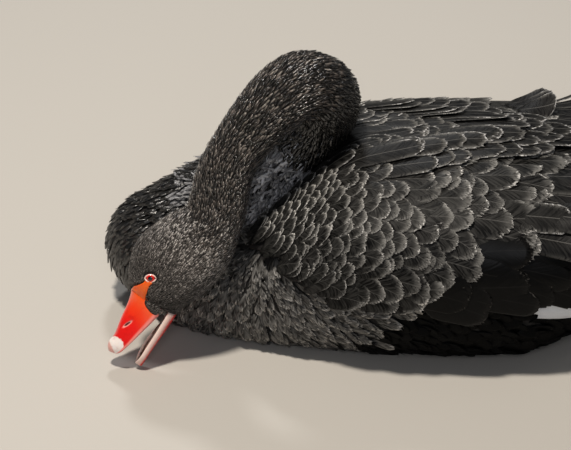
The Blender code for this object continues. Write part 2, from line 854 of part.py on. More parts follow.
def foot(name, finish, home, side):
    """A webbed foot flat on the ground: a thin web with three toes joined on."""
    root = Vector((TOE_ROOT_X, side * FOOT_Y, 0))
    outline = [root + Vector((0.004, -0.011, 0)), root + Vector((0.004, 0.011, 0))]
    tips = []
    for degrees, length in TOES:
        angle = math.radians(degrees)
        tips.append(root + Vector((-math.cos(angle), math.sin(angle), 0)) * length)
    inset = Vector((0.010, 0, 0))
    outline += [tips[2], (tips[2] + tips[1]) / 2 + inset, tips[1]]
    outline += [(tips[1] + tips[0]) / 2 + inset, tips[0]]
    web = loft(
        name,
        [[(p.x, p.y, 0.0) for p in outline], [(p.x, p.y, 0.0022) for p in outline]],
        finish, home, smooth=False,
    )
    toe_home = collection(name + "_toes")
    for i, tip in enumerate(tips):
        across = Vector((root.y - tip.y, tip.x - root.x, 0)).normalized()
        rings = []
        for share, half_width, height in (
            (-0.02, 0.0056, 0.0090), (0.45, 0.0052, 0.0075), (0.88, 0.0042, 0.0060), (1.05, 0.0013, 0.0028),
        ):
            middle = root + (tip - root) * share
            ring = []
            for k in range(7):
                angle = 2 * math.pi * k / 7
                spot = middle + across * half_width * math.cos(angle)
                spot.z = max(height / 2 + height / 2 * math.sin(angle) * 1.15, 0.0)
                ring.append(spot)
            rings.append(ring)
        loft(f"{name}_toe_{i}", rings, finish, toe_home)
    join_all(web, toe_home, "EXACT")
    bpy.data.collections.remove(toe_home)
    return web


def leg(name, finish, home, side):
    """The folded leg: the shank along the ground and the joint that goes up into the belly."""
    course = (
        (TOE_ROOT_X + 0.0045, 0.0062, 0.0060),
        (0.063, 0.0075, 0.0062),
        (0.101, 0.0085, 0.0068),
        (HEEL_X - 0.006, 0.0115, 0.0088),
        (HEEL_X + 0.003, 0.0185, 0.0090),
        (HEEL_X - 0.004, POCKET_HEIGHT - 0.0080, 0.0080),
    )
    rings = []
    for i, (x, z, radius) in enumerate(course):
        ahead = course[min(i + 1, len(course) - 1)]
        behind = course[max(i - 1, 0)]
        heading = Vector((ahead[0] - behind[0], 0, ahead[1] - behind[1])).normalized()
        up = Vector((-heading.z, 0, heading.x))
        ring = []
        for k in range(10):
            angle = 2 * math.pi * k / 10
            spot = Vector((x, side * FOOT_Y, z)) + up * radius * math.cos(angle)
            spot.y += radius * math.sin(angle)
            spot.z = max(spot.z, 0.0)
            ring.append(spot)
        rings.append(ring)
    return loft(name, rings, finish, home)


def build():
    clear_scene()
    swan = collection("black_swan")
    cutters = collection("cutters")
    black = material("black_feathers", (0.012, 0.012, 0.013), 0.62)
    white = material("white_flight_feathers", (0.62, 0.64, 0.68), 0.55)
    red = material("red_bill", (0.62, 0.02, 0.015), 0.32)
    pink = material("pink_lower_bill", (0.70, 0.33, 0.28), 0.4)
    tongue_skin = material("tongue", (0.42, 0.20, 0.14), 0.5)
    iris = material("red_eye", (0.45, 0.01, 0.01), 0.1)
    leg_skin = material("dark_leg_skin", (0.03, 0.028, 0.028), 0.55)

    path = neck_path()
    neck_lengths(black, swan, path)
    neck_room = neck_cutter("neck_room", black, cutters, path, NECK_CUTS[2])

    torso = torso_mesh("torso", black, swan)
    pockets = [pocket(f"pocket_{side}", black, cutters, side) for side in (-1, 1)]
    cut(torso, [neck_room, *pockets])
    torso_room = as_cutter(torso_mesh("torso_room", black, cutters, CUT_GAP))

    head(black, swan, cutters, path)
    upper_bill(red, swan, cutters)
    lower_bill(pink, swan)
    tongue(tongue_skin, swan)
    for name, side in (("left", -1), ("right", 1)):
        flank = -side
        sphere(f"eye_{name}", iris, swan, head_point(EYE.x, flank * EYE.y, EYE.z), EYE_RADIUS)
        wing(f"wing_{name}", black, swan, side, [torso_room, neck_room])
        flight_feathers(f"flight_feathers_{name}", white, swan, side, [torso_room])
        leg(f"leg_{name}", leg_skin, swan, side)
        foot(f"foot_{name}", leg_skin, swan, side)
    tail("tail", black, swan, [torso_room])


build()
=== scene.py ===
# Black swan lying on its belly, neck folded back over its shoulders and the open bill at
# the ground. Metres, +Z up; the bird faces -X and its left side is -Y.
import math
from functools import partial

import bpy
import numpy as np
from mathutils.bvhtree import BVHTree
from mathutils.kdtree import KDTree
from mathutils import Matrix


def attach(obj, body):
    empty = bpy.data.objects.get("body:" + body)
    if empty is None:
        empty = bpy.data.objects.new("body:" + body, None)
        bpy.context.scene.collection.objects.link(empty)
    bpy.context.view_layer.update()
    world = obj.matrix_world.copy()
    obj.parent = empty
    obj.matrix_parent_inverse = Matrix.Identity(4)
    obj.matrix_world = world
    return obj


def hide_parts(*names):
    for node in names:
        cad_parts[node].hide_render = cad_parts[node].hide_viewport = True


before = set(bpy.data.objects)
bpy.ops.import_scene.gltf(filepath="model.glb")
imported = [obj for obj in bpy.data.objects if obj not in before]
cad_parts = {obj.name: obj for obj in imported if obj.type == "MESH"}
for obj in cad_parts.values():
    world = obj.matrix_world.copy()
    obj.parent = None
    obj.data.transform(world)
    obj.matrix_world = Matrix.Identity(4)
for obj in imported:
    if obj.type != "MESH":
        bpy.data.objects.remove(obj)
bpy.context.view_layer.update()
print("frame loaded:", len(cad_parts), "solids")
sides = (("left", 1.0), ("right", -1.0))


# Small numeric helpers

def clamp(t, low=0.0, high=1.0):
    return np.clip(t, low, high)


# Eases from 0 to 1: 3t^2 - 2t^3 on t held between 0 and 1.
def smoothStep(t):
    t = clamp(t)
    return t * t * (3 - 2 * t)


def unit(v):
    return v / np.maximum(np.linalg.norm(v, axis=-1, keepdims=True), 1e-12)


def blendOf(a, b, share):
    return a + (b - a) * share


def turns(count):
    return np.linspace(0, 2 * np.pi, count, endpoint=False)


# Distance run along a row of points, from 0.
def runAlong(points):
    return np.concatenate([[0], np.cumsum(np.linalg.norm(np.diff(points, axis=0), axis=1))])


# Natural cubic spline: columns of knots, met at the places "at", read at the places "where".
def splineColumns(knots, at, where):
    knots, at = np.asarray(knots, float), np.asarray(at, float)
    size = len(knots)
    step = np.diff(at)
    slope = np.diff(knots, axis=0) / step[:, None]
    system, right = np.eye(size), np.zeros_like(knots)
    inner = np.arange(1, size - 1)
    system[inner, inner - 1] = step[:-1]
    system[inner, inner] = 2 * (step[:-1] + step[1:])
    system[inner, inner + 1] = step[1:]
    right[inner] = 6 * (slope[1:] - slope[:-1])
    bend = np.linalg.solve(system, right)
    piece = np.clip(np.searchsorted(at, where, side="right") - 1, 0, size - 2)
    h = step[piece][:, None]
    before, after = (at[piece + 1] - where)[:, None], (where - at[piece])[:, None]
    return (
        (bend[piece] * before**3 + bend[piece + 1] * after**3) / (6 * h)
        + (knots[piece] / h - bend[piece] * h / 6) * before
        + (knots[piece + 1] / h - bend[piece + 1] * h / 6) * after
    )


# Meshes from arrays

noFaces = np.zeros((0, 3), int)


# Quads between the points of a grid, whose columns or rows may run on round to the first.
def gridQuads(rows, cols, wrap=False, wrapRows=False):
    i, j = np.meshgrid(np.arange(rows - 1 + wrapRows), np.arange(cols - 1 + wrap), indexing="ij")
    i2, j2 = (i + 1) % rows, (j + 1) % cols
    return np.stack([i * cols + j, i2 * cols + j, i2 * cols + j2, i * cols + j2], -1).reshape(-1, 4)


# Quads of two grids of points, one over the other, joined along their rims.
def sheetQuads(rows, cols):
    size = rows * cols
    rim = np.concatenate([
        np.arange(cols), cols * np.arange(1, rows) + cols - 1,
        size - 2 - np.arange(cols - 1), cols * np.arange(rows - 2, 0, -1),
    ])
    after = np.roll(rim, -1)
    top = gridQuads(rows, cols)
    return np.concatenate([top, top[:, ::-1] + size, np.stack([rim, after, after + size, rim + size], -1)])


# Turns a closed shape's faces round if they enclose a negative volume.
def facingOut(points, quads, tris=noFaces):
    corners = np.concatenate([quads[:, [0, 1, 2]], quads[:, [0, 2, 3]], tris])
    a, b, c = points[corners[:, 0]], points[corners[:, 1]], points[corners[:, 2]]
    if np.einsum("ij,ij->i", a, np.cross(b, c)).sum() < 0:
        return points, quads[:, ::-1], tris[:, ::-1]
    return points, quads, tris


# A closed sheet from two grids of points (rows, cols, 3).
def closedSheet(outer, inner):
    points = np.concatenate([outer.reshape(-1, 3), inner.reshape(-1, 3)])
    return facingOut(points, sheetQuads(*outer.shape[:2]))


# A closed body from rings of points (rows, sides, 3), each end closed by a point.
def closedLoft(rings):
    rows, cols = rings.shape[:2]
    points = np.concatenate([rings.reshape(-1, 3), [rings[0].mean(0)], [rings[-1].mean(0)]])
    i = np.arange(cols)
    j = (i + 1) % cols
    first, last = np.full(cols, rows * cols), np.full(cols, rows * cols + 1)
    ends = [np.stack([first, i, j], -1), np.stack([last, (rows - 1) * cols + j, (rows - 1) * cols + i], -1)]
    return facingOut(points, gridQuads(rows, cols, wrap=True), np.concatenate(ends))


# Shape: points, quads and triangles. Maps: a name and a place for each point. Floats: an
# attribute's name and a number for each point.
def meshObject(name, shape, finish, maps=None, floats=None, smooth=True):
    points, quads, tris = shape
    mesh = bpy.data.meshes.new(name)
    corners = np.concatenate([quads.ravel(), tris.ravel()]).astype(np.int32)
    starts = np.concatenate([np.arange(len(quads)) * 4, len(quads) * 4 + np.arange(len(tris)) * 3])
    mesh.vertices.add(len(points))
    mesh.vertices.foreach_set("co", np.asarray(points, np.float32).ravel())
    mesh.loops.add(len(corners))
    mesh.loops.foreach_set("vertex_index", corners)
    mesh.polygons.add(len(starts))
    mesh.polygons.foreach_set("loop_start", starts.astype(np.int32))
    mesh.update(calc_edges=True)
    mesh.polygons.foreach_set("use_smooth", np.full(len(starts), smooth))
    for mapName, places in (maps or {}).items():
        layer = mesh.uv_layers.new(name=mapName)
        layer.uv.foreach_set("vector", np.asarray(places[corners], np.float32).ravel())
    for attribute, values in (floats or {}).items():
        made = mesh.attributes.new(attribute, "FLOAT", "POINT")
        made.data.foreach_set("value", np.asarray(values, np.float32).ravel())
    mesh.materials.append(finish)
    mesh.validate()
    made = bpy.data.objects.new(name, mesh)
    bpy.context.scene.collection.objects.link(made)
    return made


def dress(made, slot, *solids):
    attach(made, "root")
    if solids:
        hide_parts(*solids)
    return made


# Materials

# sRGB hex to linear: v/12.92 below 0.04045, else ((v + 0.055)/1.055)^2.4.
def linear(hexColour):
    parts = [int(hexColour[i:i + 2], 16) / 255 for i in (1, 3, 5)]
    return (*(v / 12.92 if v <= 0.04045 else ((v + 0.055) / 1.055) ** 2.4 for v in parts), 1.0)


# The output that a link starts from: the one named in (node, output), or a node's first.
def outputOf(source):
    if isinstance(source, tuple):
        return source[0].outputs[source[1]]
    return next(output for output in source.outputs if output.enabled)


modes = {"Math": "operation", "MapRange": "interpolation_type", "Mix": "data_type", "TexVoronoi": "feature"}


# Adds a node. Its mode may follow its kind. The values go into its sockets in order: a
# number, a hex colour, a node, whose first output is linked, or (node, output). None
# leaves a socket as it is. "stops" are a ramp's places and colours.
def addNode(tree, kind, *values, stops=(), **settings):
    kind, _, mode = kind.partition(" ")
    node = tree.nodes.new("ShaderNode" + kind)
    if mode:
        settings[modes[kind]] = mode
    for key, value in settings.items():
        setattr(node, key, value)
    for i, (place, colour) in enumerate(stops):
        element = node.color_ramp.elements[i] if i < 2 else node.color_ramp.elements.new(place)
        element.position, element.color = place, linear(colour)
    for socket, value in zip([s for s in node.inputs if s.enabled], values):
        if isinstance(value, str):
            socket.default_value = linear(value)
        elif isinstance(value, float):
            socket.default_value = value
        elif value is not None:
            tree.links.new(outputOf(value), socket)
    return node


def newMaterial(name, settings):
    material = bpy.data.materials.new(name)
    material.use_nodes = True
    for key, value in settings.items():
        material.node_tree.nodes["Principled BSDF"].inputs[key].default_value = value
    return material, partial(addNode, material.node_tree)


# Links the last colour and bump to the shader, and gives the material.
def finished(material, colour, bump=None):
    tree = material.node_tree
    for key, node in (("Base Color", colour), ("Normal", bump)):
        if node:
            tree.links.new(outputOf(node), tree.nodes["Principled BSDF"].inputs[key])
    return material


# Feather: keratin vanes coloured by melanin, black and closed in the middle, with looser,
# greyer barbs towards the edges and a thin, pale, worn rim. The feather map's U goes
# across the vane and V from root to tip; "aspect" is length over half width.
def featherMaterial(name, look):
    material, add = newMaterial(name, {
        "Roughness": look["roughness"], "IOR": 1.54, "Specular IOR Level": look["gloss"],
    })
    split = add("SeparateXYZ", add("UVMap", uv_map="feather"))
    tone = (add("Attribute", attribute_name="tone"), "Fac")
    offCentre = add("Math SUBTRACT", (split, "X"), 0.5)
    across = add("Math ABSOLUTE", offCentre)
    # A barb keeps v - slant |u|. Noise drawn out along the barbs makes clumps of a few
    # barbs, about 1 mm wide, because single ones are too fine to show.
    barb = add("Math MULTIPLY_ADD", across, -look["slant"], (split, "Y"))
    barbNumber = add("Math MULTIPLY", barb, look["barbs"])
    outward = add("Math MULTIPLY", offCentre, 2.2)
    barbPlace = add("CombineXYZ", barbNumber, outward, add("Math MULTIPLY", tone, 61.0))
    noise = add("TexNoise", barbPlace, 1.0, 2.5, 0.6)
    clumps = add("MapRange", noise, 0.41, 0.61)
    # Distance to the edge in half widths: the less of (1 - v) aspect and 1 - 2 |u|, the
    # latter grown by "sideFade" (1 - v), because the sides are worn less than the tip.
    tipGap = add("Math MULTIPLY_ADD", (split, "Y"), -look["aspect"], look["aspect"])
    sideGap = add("Math MULTIPLY_ADD", across, -2.0, 1.0)
    keptSide = add("Math MULTIPLY_ADD", tipGap, look["sideFade"] / look["aspect"], sideGap)
    combed = add("Math MULTIPLY_ADD", clumps, look["comb"], add("Math MINIMUM", tipGap, keptSide))
    halo = add("MapRange SMOOTHSTEP", combed, look["haloFrom"], 0.0, 0.0, look["haloMost"])
    rim = add("MapRange SMOOTHSTEP", combed, look["rimFrom"], 0.02, 0.0, look["rimMost"])
    # Wear comes in patches, so the pale rim is strong on one feather and faint on the next.
    wear = add("MapRange", add("TexNoise", barbPlace, 0.13, 2.0), 0.36, 0.58, 0.12)
    worn = add("Math MULTIPLY", rim, wear)
    base = add("ValToRGB", tone, stops=look["tones"])
    streaked = add("Mix RGBA", add("Math MULTIPLY", clumps, look["streaks"]), base, look["halo"])
    loose = add("Math MULTIPLY", halo, add("MapRange", clumps, None, None, look["closed"]))
    # A feather with a low tone is less bleached all over.
    bleach = add("Math MULTIPLY", loose, add("MapRange", tone, None, 0.62, 0.40))
    hazed = add("Mix RGBA", bleach, streaked, look["halo"])
    rimmed = add("Mix RGBA", worn, hazed, look["rim"])
    shaft = add("MapRange SMOOTHSTEP", across, 0.02, 0.0, 0.0, look["shaft"])
    colour = add("Mix RGBA", shaft, rimmed, look["halo"])
    return finished(material, colour, add("Bump", look["bump"], 0.0006, None, noise))


# What the looks share; each one below gives its own colours and differences.
usualLook = {
    "haloFrom": 0.9, "haloMost": 0.3, "closed": 0.3, "rimFrom": 0.3, "rimMost": 0.3, "sideFade": 1.0,
    "comb": 0.3, "slant": 0.8, "streaks": 0.1, "shaft": 0.0, "bump": 0.5,
}
loopLook = {
    "tones": ((0.0, "#010101"), (0.6, "#040404"), (1.0, "#22201d")), "halo": "#55514e", "closed": 0.2,
    "rim": "#b5afa9", "aspect": 5.0, "barbs": 9.0, "roughness": 0.19, "gloss": 1.0,
}
featherLooks = {
    "wing": {
        "tones": ((0.0, "#030303"), (0.6, "#060606"), (1.0, "#0d0c0c")), "halo": "#b3b1ac",
        "haloFrom": 0.78, "haloMost": 1.0, "closed": 0.04, "rim": "#ece9e4", "rimFrom": 0.22,
        "rimMost": 1.0, "sideFade": 1.4, "aspect": 3.0, "barbs": 20.0, "slant": 0.95, "streaks": 0.06,
        "roughness": 0.44, "gloss": 0.07, "bump": 1.0, "shaft": 0.12,
    },
    # Painted shade: a near-black copy of the wing's feather for the wing's lower rear, standing in for the
    # shade under the tertials.
    "fresh": {
        "tones": ((0.0, "#020202"), (0.6, "#040404"), (1.0, "#070707")), "halo": "#262524", "haloFrom": 0.7,
        "haloMost": 0.7, "closed": 0.1, "rim": "#5d5a56", "rimFrom": 0.12, "rimMost": 0.7, "sideFade": 0.8,
        "aspect": 3.2, "barbs": 17.0, "slant": 0.95, "streaks": 0.05, "roughness": 0.36, "gloss": 0.1,
        "shaft": 0.3,
    },
    "long": {
        "tones": ((0.0, "#030303"), (0.6, "#050506"), (1.0, "#0a0a0a")), "halo": "#96948f", "haloFrom": 0.7,
        "haloMost": 1.0, "closed": 0.04, "rim": "#e6e4e2", "rimFrom": 0.24, "rimMost": 1.0, "sideFade": 0.5,
        "aspect": 6.5, "comb": 0.25, "barbs": 30.0, "slant": 0.45, "streaks": 0.04, "roughness": 0.46,
        "gloss": 0.08, "bump": 0.7, "shaft": 0.3,
    },
    "breast": {
        "tones": ((0.0, "#030303"), (0.6, "#080808"), (1.0, "#141312")), "halo": "#cfccc7", "haloFrom": 1.3,
        "haloMost": 1.0, "closed": 0.0, "rim": "#ebe8e4", "rimMost": 1.0, "sideFade": 1.2, "aspect": 3.8,
        "comb": 0.45, "barbs": 5.0, "slant": 1.4, "streaks": 0.2, "roughness": 0.42, "gloss": 0.22,
        "bump": 0.8, "shaft": 0.1,
    },
    # Painted shade: a darker copy of the feather for the torso outside the breast, standing in for the shade
    # under the wings.
    "shadedFlank": {
        "tones": ((0.0, "#020202"), (0.6, "#040404"), (1.0, "#070707")), "halo": "#161515", "haloFrom": 0.8,
        "haloMost": 0.5, "closed": 0.2, "rim": "#262525", "rimFrom": 0.25, "rimMost": 0.4, "aspect": 3.1,
        "comb": 0.35, "barbs": 12.0, "slant": 1.0, "streaks": 0.08, "roughness": 0.55, "gloss": 0.06,
        "bump": 0.4, "shaft": 0.1,
    },
    "neck": {
        "tones": ((0.0, "#020202"), (0.45, "#151211"), (0.75, "#48413c"), (1.0, "#857d76")),
        "halo": "#6f6863", "rim": "#a09892", "rimMost": 0.45, "aspect": 6.0, "barbs": 5.0,
        "roughness": 0.24, "gloss": 0.85, "bump": 0.2,
    },
    "loop": loopLook,
    "bulge": loopLook | {
        "tones": ((0.0, "#010101"), (0.6, "#040404"), (1.0, "#2a2724")), "roughness": 0.28, "gloss": 0.9,
    },
    "head": {
        "tones": ((0.0, "#0a0908"), (0.5, "#4c4743"), (1.0, "#d6d0ca")), "halo": "#9f9791", "haloMost": 0.4,
        "rim": "#b4aca5", "aspect": 4.6, "barbs": 3.0, "streaks": 0.2, "roughness": 0.42, "gloss": 0.5,
        "bump": 0.2,
    },
    # Down: partly its own pale grey and partly painted light; the coat keeps it this pale only in the neck's
    # shade.
    "down": {
        "tones": ((0.0, "#09090a"), (0.5, "#4a4a4e"), (1.0, "#dcdce0")), "halo": "#ececef", "haloFrom": 1.2,
        "haloMost": 0.95, "closed": 0.0, "rim": "#f6f6f7", "rimFrom": 0.4, "rimMost": 0.7, "sideFade": 0.5,
        "aspect": 4.0, "comb": 0.6, "barbs": 5.0, "slant": 1.4, "streaks": 0.3, "roughness": 0.5,
        "gloss": 0.3, "bump": 0.6,
    },
    # Painted shade: the white quills are tinted a cool blue-grey, standing in for the shade under the wing.
    "white": {
        "tones": ((0.0, "#cfd3da"), (0.6, "#dde0e5"), (1.0, "#e9ebee")), "halo": "#c3c8cf", "haloFrom": 0.3,
        "rim": "#f4f4f4", "rimFrom": 0.1, "rimMost": 0.4, "sideFade": 0.2, "aspect": 12.0, "comb": 0.1,
        "barbs": 60.0, "slant": 0.35, "streaks": 0.3, "roughness": 0.5, "gloss": 0.4, "shaft": 0.6,
    },
}
feathers = {
    key: featherMaterial(f"{key}_feather_keratin", usualLook | look) for key, look in featherLooks.items()
}


# Skin under the coat: dark, matt, with the fine pits of the feather roots, about 2 mm apart.
def skinMaterial():
    material, add = newMaterial("feathered_skin_dark", {"Roughness": 0.75, "IOR": 1.4})
    pits = add("TexVoronoi", (add("TexCoord"), "Object"), 450.0)
    colour = add("ValToRGB", pits, stops=((0.0, "#0f0e0e"), (0.8, "#1d1b1b")))
    return finished(material, colour, add("Bump", 0.4, 0.0005, None, pits))


# Upper bill: smooth living horn, waxy, crimson with an orange base, a pale band before
# the nail and a pale pink cutting edge. Map "bill": U is x/80 mm along, V height share.
def upperBillMaterial():
    material, add = newMaterial("bill_horn_crimson", {
        "Roughness": 0.3, "IOR": 1.5, "Coat Weight": 0.6, "Coat Roughness": 0.12,
        "Subsurface Weight": 0.04, "Subsurface Scale": 0.001, "Subsurface Radius": (1.0, 0.3, 0.2),
    })
    split = add("SeparateXYZ", add("UVMap", uv_map="bill"))
    height = (split, "Y")
    inPlace = (add("TexCoord"), "Object")
    cloud = add("TexNoise", inPlace, 260.0, 4.0)
    along = add("Math ADD", (split, "X"), add("Math MULTIPLY_ADD", cloud, 0.05, -0.025))
    # The band bows to the rear at mid height: 0.30 V (1 - V) is added to the distance along.
    back = add("Math MULTIPLY_ADD", add("Math MULTIPLY_ADD", height, -0.30, 0.30), height, along)
    zones = add("ValToRGB", back, stops=(
        (0.06, "#ff6410"), (0.26, "#ff4009"), (0.46, "#f0150b"), (0.700, "#e30f0c"), (0.716, "#fbeee8"),
        (1.0, "#fcf5f0"),
    ))
    # The nail, a little further forward low down.
    nail = add("MapRange", add("Math MULTIPLY_ADD", height, 0.06, along), 0.835, 0.855)
    nailed = add("Mix RGBA", nail, zones, "#e8a79d")
    rimmed = add("Mix RGBA", add("MapRange SMOOTHSTEP", height, 0.19, 0.09), nailed, "#f88a80")
    blotch = add("MapRange", add("TexNoise", inPlace, 120.0, 5.0), 0.55, 0.75, None, 0.35)
    stained = add("Mix RGBA", blotch, rimmed, "#b8403a")
    stained.blend_type = "MULTIPLY"
    # The nostril: a pale pink lip, a painted highlight, round a slot painted dark red as painted shade.
    hole = (add("Attribute", attribute_name="nostril"), "Fac")
    paintedLipHighlight = add("Mix RGBA", add("MapRange SMOOTHSTEP", hole, 0.02, 0.45, None, 0.65), stained, "#ffc9bd")
    paintedSlotShade = add("Mix RGBA", add("MapRange", hole, 0.55, 0.8), paintedLipHighlight, "#5c0f0d")
    return finished(material, paintedSlotShade, add("Bump", 0.25, 0.0008, None, cloud))


# Lower bill: pinkish-white horn with a thin red line along its lower edge and a brown
# trough, darkest along its floor inside. Map "bill": U along, V from 0.4 at the rim to 1 at
# the keel outside, and from less than that down to 0 inside.
def lowerBillMaterial():
    material, add = newMaterial("bill_horn_pink", {
        "Roughness": 0.35, "IOR": 1.5, "Subsurface Weight": 0.08, "Subsurface Scale": 0.002,
    })
    split = add("SeparateXYZ", add("UVMap", uv_map="bill"))
    cloud = add("TexNoise", (add("TexCoord"), "Object"), 300.0, 5.0)
    height = add("Math ADD", (split, "Y"), add("Math MULTIPLY_ADD", cloud, 0.16, -0.08))
    zones = add("ValToRGB", height, stops=(
        (0.0, "#3d2716"), (0.20, "#6b482c"), (0.29, "#f0dccf"), (0.46, "#f4ddd2"), (0.70, "#f1cbc1"),
        (0.80, "#e8938c"), (0.88, "#dc2f2a"), (1.0, "#d42a26"),
    ))
    return finished(material, zones, add("Bump", 0.25, 0.0008, None, cloud))


# Bare skin: soft, finely pebbled and faintly clouded.
def bareSkinMaterial(name, low, high, grain):
    material, add = newMaterial(name, {
        "Roughness": 0.42, "IOR": 1.45, "Subsurface Weight": 0.12, "Subsurface Scale": 0.002,
        "Subsurface Radius": (1.0, 0.35, 0.2),
    })
    inPlace = (add("TexCoord"), "Object")
    colour = add("ValToRGB", add("TexNoise", inPlace, grain * 0.4, 4.0), stops=((0.3, low), (0.7, high)))
    return finished(material, colour, add("Bump", 0.35, 0.0004, None, add("TexVoronoi", inPlace, grain)))


# Eye: a wet ball. Map "eye": U is 0 at the pupil's middle and 1 a quarter turn from it.
def eyeMaterial():
    material, add = newMaterial("eye_iris_red", {
        "Roughness": 0.08, "IOR": 1.376, "Coat Weight": 1.0, "Coat Roughness": 0.02,
    })
    split = add("SeparateXYZ", add("UVMap", uv_map="eye"))
    rays = add("TexNoise", (add("TexCoord"), "Object"), 900.0, 3.0)
    radius = add("Math ADD", (split, "X"), add("Math MULTIPLY_ADD", rays, 0.05, -0.025))
    # The pupil's blue middle is a painted reflection.
    return finished(material, add("ValToRGB", radius, stops=(
        (0.0, "#0d3a5c"), (0.07, "#061523"), (0.12, "#030405"), (0.225, "#040506"), (0.26, "#b01009"),
        (0.33, "#e62016"), (0.44, "#d0170f"), (0.54, "#3a0605"),
    )))


# Leg and foot skin: dry black scutes about 3 mm across with grooves between them.
def legMaterial():
    material, add = newMaterial("leg_scutes_black", {"Roughness": 0.5, "IOR": 1.45})
    inPlace = (add("TexCoord"), "Object")
    scutes = add("TexVoronoi DISTANCE_TO_EDGE", inPlace, 330.0)
    plate = add("ValToRGB", add("TexNoise", inPlace, 60.0, 5.0), stops=((0.3, "#252322"), (0.7, "#3d3a37")))
    groove = add("MapRange", scutes, None, 0.12)
    colour = add("Mix RGBA", groove, "#0f0e0e", plate)
    return finished(material, colour, add("Bump", 0.7, 0.0006, None, groove))


# The body: sections across X, an ogive in front and a taper behind

bodyShape = {
    "breastX": -0.262, "widestX": 0.045, "rumpX": 0.292, "halfWidth": 0.1545, "shoulderLow": 0.088,
    "backTop": 0.2025, "rumpTop": 0.114, "rumpBottom": 0.086, "bellySink": 0.012, "waistShare": 0.48,
    "topPower": 2.4, "lowPower": 3.2, "coatDepth": 0.0055, "bellyFloor": 0.0045,
    "ogiveOver": 0.055, "ogivePower": 0.78,  # the ogive would end this far before the breast
    "shoulderFrom": -0.235, "shoulderRun": 0.205, "fallFrom": 0.03,  # the back's rise and fall
    "keelFrom": -0.205, "keelRun": 0.09, "keelRise": 0.05, "tuckFrom": 0.125,  # the belly's ends
    "rings": 90, "sides": 96,
}


# cos(90 degrees x share)^power, with the share of the way from the widest place to the front.
def frontTaper(x):
    end = bodyShape["breastX"] - bodyShape["ogiveOver"]
    reach = clamp((bodyShape["widestX"] - x) / (bodyShape["widestX"] - end))
    return np.cos(np.pi / 2 * reach) ** bodyShape["ogivePower"]


# The top line of the back, eased up from the shoulder.
def backRise(x):
    share = smoothStep((x - bodyShape["shoulderFrom"]) / bodyShape["shoulderRun"])
    return blendOf(bodyShape["shoulderLow"], bodyShape["backTop"], share)


# Share of the way from a place to the rump, from 0 to 1.
def rearReach(x, start):
    return clamp((x - start) / (bodyShape["rumpX"] - start))


# Behind the widest place it is (1 - (0.975 reach)^2.2)^0.6 of the half width.
def bodyWidth(x):
    rear = (1 - (0.975 * rearReach(x, bodyShape["widestX"])) ** 2.2) ** 0.6
    return bodyShape["halfWidth"] * np.where(x < bodyShape["widestX"], frontTaper(x), rear)


def bodyTop(x):
    fall = bodyShape["backTop"] - bodyShape["rumpTop"]
    return backRise(x) - fall * rearReach(x, bodyShape["fallFrom"]) ** 1.9


def bodyBottom(x):
    front = clamp((bodyShape["keelFrom"] - x) / bodyShape["keelRun"])
    sink = bodyShape["bellySink"]
    rear = rearReach(x, bodyShape["tuckFrom"]) ** 1.5
    return -sink + bodyShape["keelRise"] * front**2 + (bodyShape["rumpBottom"] + sink) * rear


def bodyWaist(x):
    return bodyBottom(x) + bodyShape["waistShare"] * (bodyTop(x) - bodyBottom(x))


# A superellipse at x, made smaller by the coat's depth, and pressed flat by the ground.
def bodySurface(x, angle, depth):
    across, up = np.cos(angle), np.sin(angle)
    power = 2 / np.where(up > 0, bodyShape["topPower"], bodyShape["lowPower"])
    width, waist = bodyWidth(x) - depth, bodyWaist(x)
    top, bottom = bodyTop(x) - depth, bodyBottom(x) + depth
    y = np.sign(across) * width * np.abs(across) ** power
    rise = np.abs(up) ** power
    z = np.where(up > 0, waist + (top - waist) * rise, waist - (waist - bottom) * rise)
    return np.stack([x + 0 * y, y, np.maximum(z, bodyShape["bellyFloor"])], -1)


# Rings from the breast to the rump, closer together at both ends.
def bodyRings():
    share = np.linspace(0, 1, bodyShape["rings"])
    depth = bodyShape["coatDepth"]
    front, rear = bodyShape["breastX"] + depth, bodyShape["rumpX"] - depth - 0.001
    x = front + (rear - front) * (0.35 * (0.5 - 0.5 * np.cos(np.pi * share)) + 0.65 * share)
    return bodySurface(x[:, None], turns(bodyShape["sides"]), depth)


# The head, in its own frame: x forward along the cutting edge, y left, z up, origin at the gape

headShape = {
    "gape": (-0.2461, -0.1171, 0.0601), "forward": (-0.713, -0.200, -0.672), "up": (-0.699, 0.256, 0.668),
    "scale": 1.04, "coatDepth": 0.0012, "rings": 60, "firstRing": 0.35,
    # middle x and z, half height, half width, lean in degrees, from the nape to the face
    "sections": (
        (-0.0960, 0.0316, 0.0322, 0.0322, 13.0), (-0.0830, 0.0308, 0.0380, 0.0330, 14.0),
        (-0.0690, 0.0300, 0.0420, 0.0335, 13.0), (-0.0510, 0.0292, 0.0445, 0.0335, 11.0),
        (-0.0330, 0.0280, 0.0430, 0.0318, 10.0), (-0.0160, 0.0240, 0.0372, 0.0288, 13.0),
        (-0.0060, 0.0205, 0.0318, 0.0242, 14.0), (0.0007, 0.0137, 0.0287, 0.0185, 14.6),
    ),
}
napeX, napeZ, napeHeight = headShape["sections"][0][:3]
faceMiddleX, faceMiddleZ, _, _, faceLean = headShape["sections"][-1]
faceSlope = math.tan(math.radians(faceLean))
lastSection = len(headShape["sections"]) - 1
gape = np.array(headShape["gape"])
headForward = unit(np.array(headShape["forward"]))
headUp = np.array(headShape["up"])
headUp = unit(headUp - headForward * (headUp @ headForward))
headLeft = np.cross(headUp, headForward)


def headPoint(x, y, z):
    x, y, z = (part[..., None] for part in np.broadcast_arrays(x, y, z))
    return gape + headShape["scale"] * (x * headForward + y * headLeft + z * headUp)


def toHead(points):
    off = (points - gape) / headShape["scale"]
    return np.stack([off @ headForward, off @ headLeft, off @ headUp], -1)


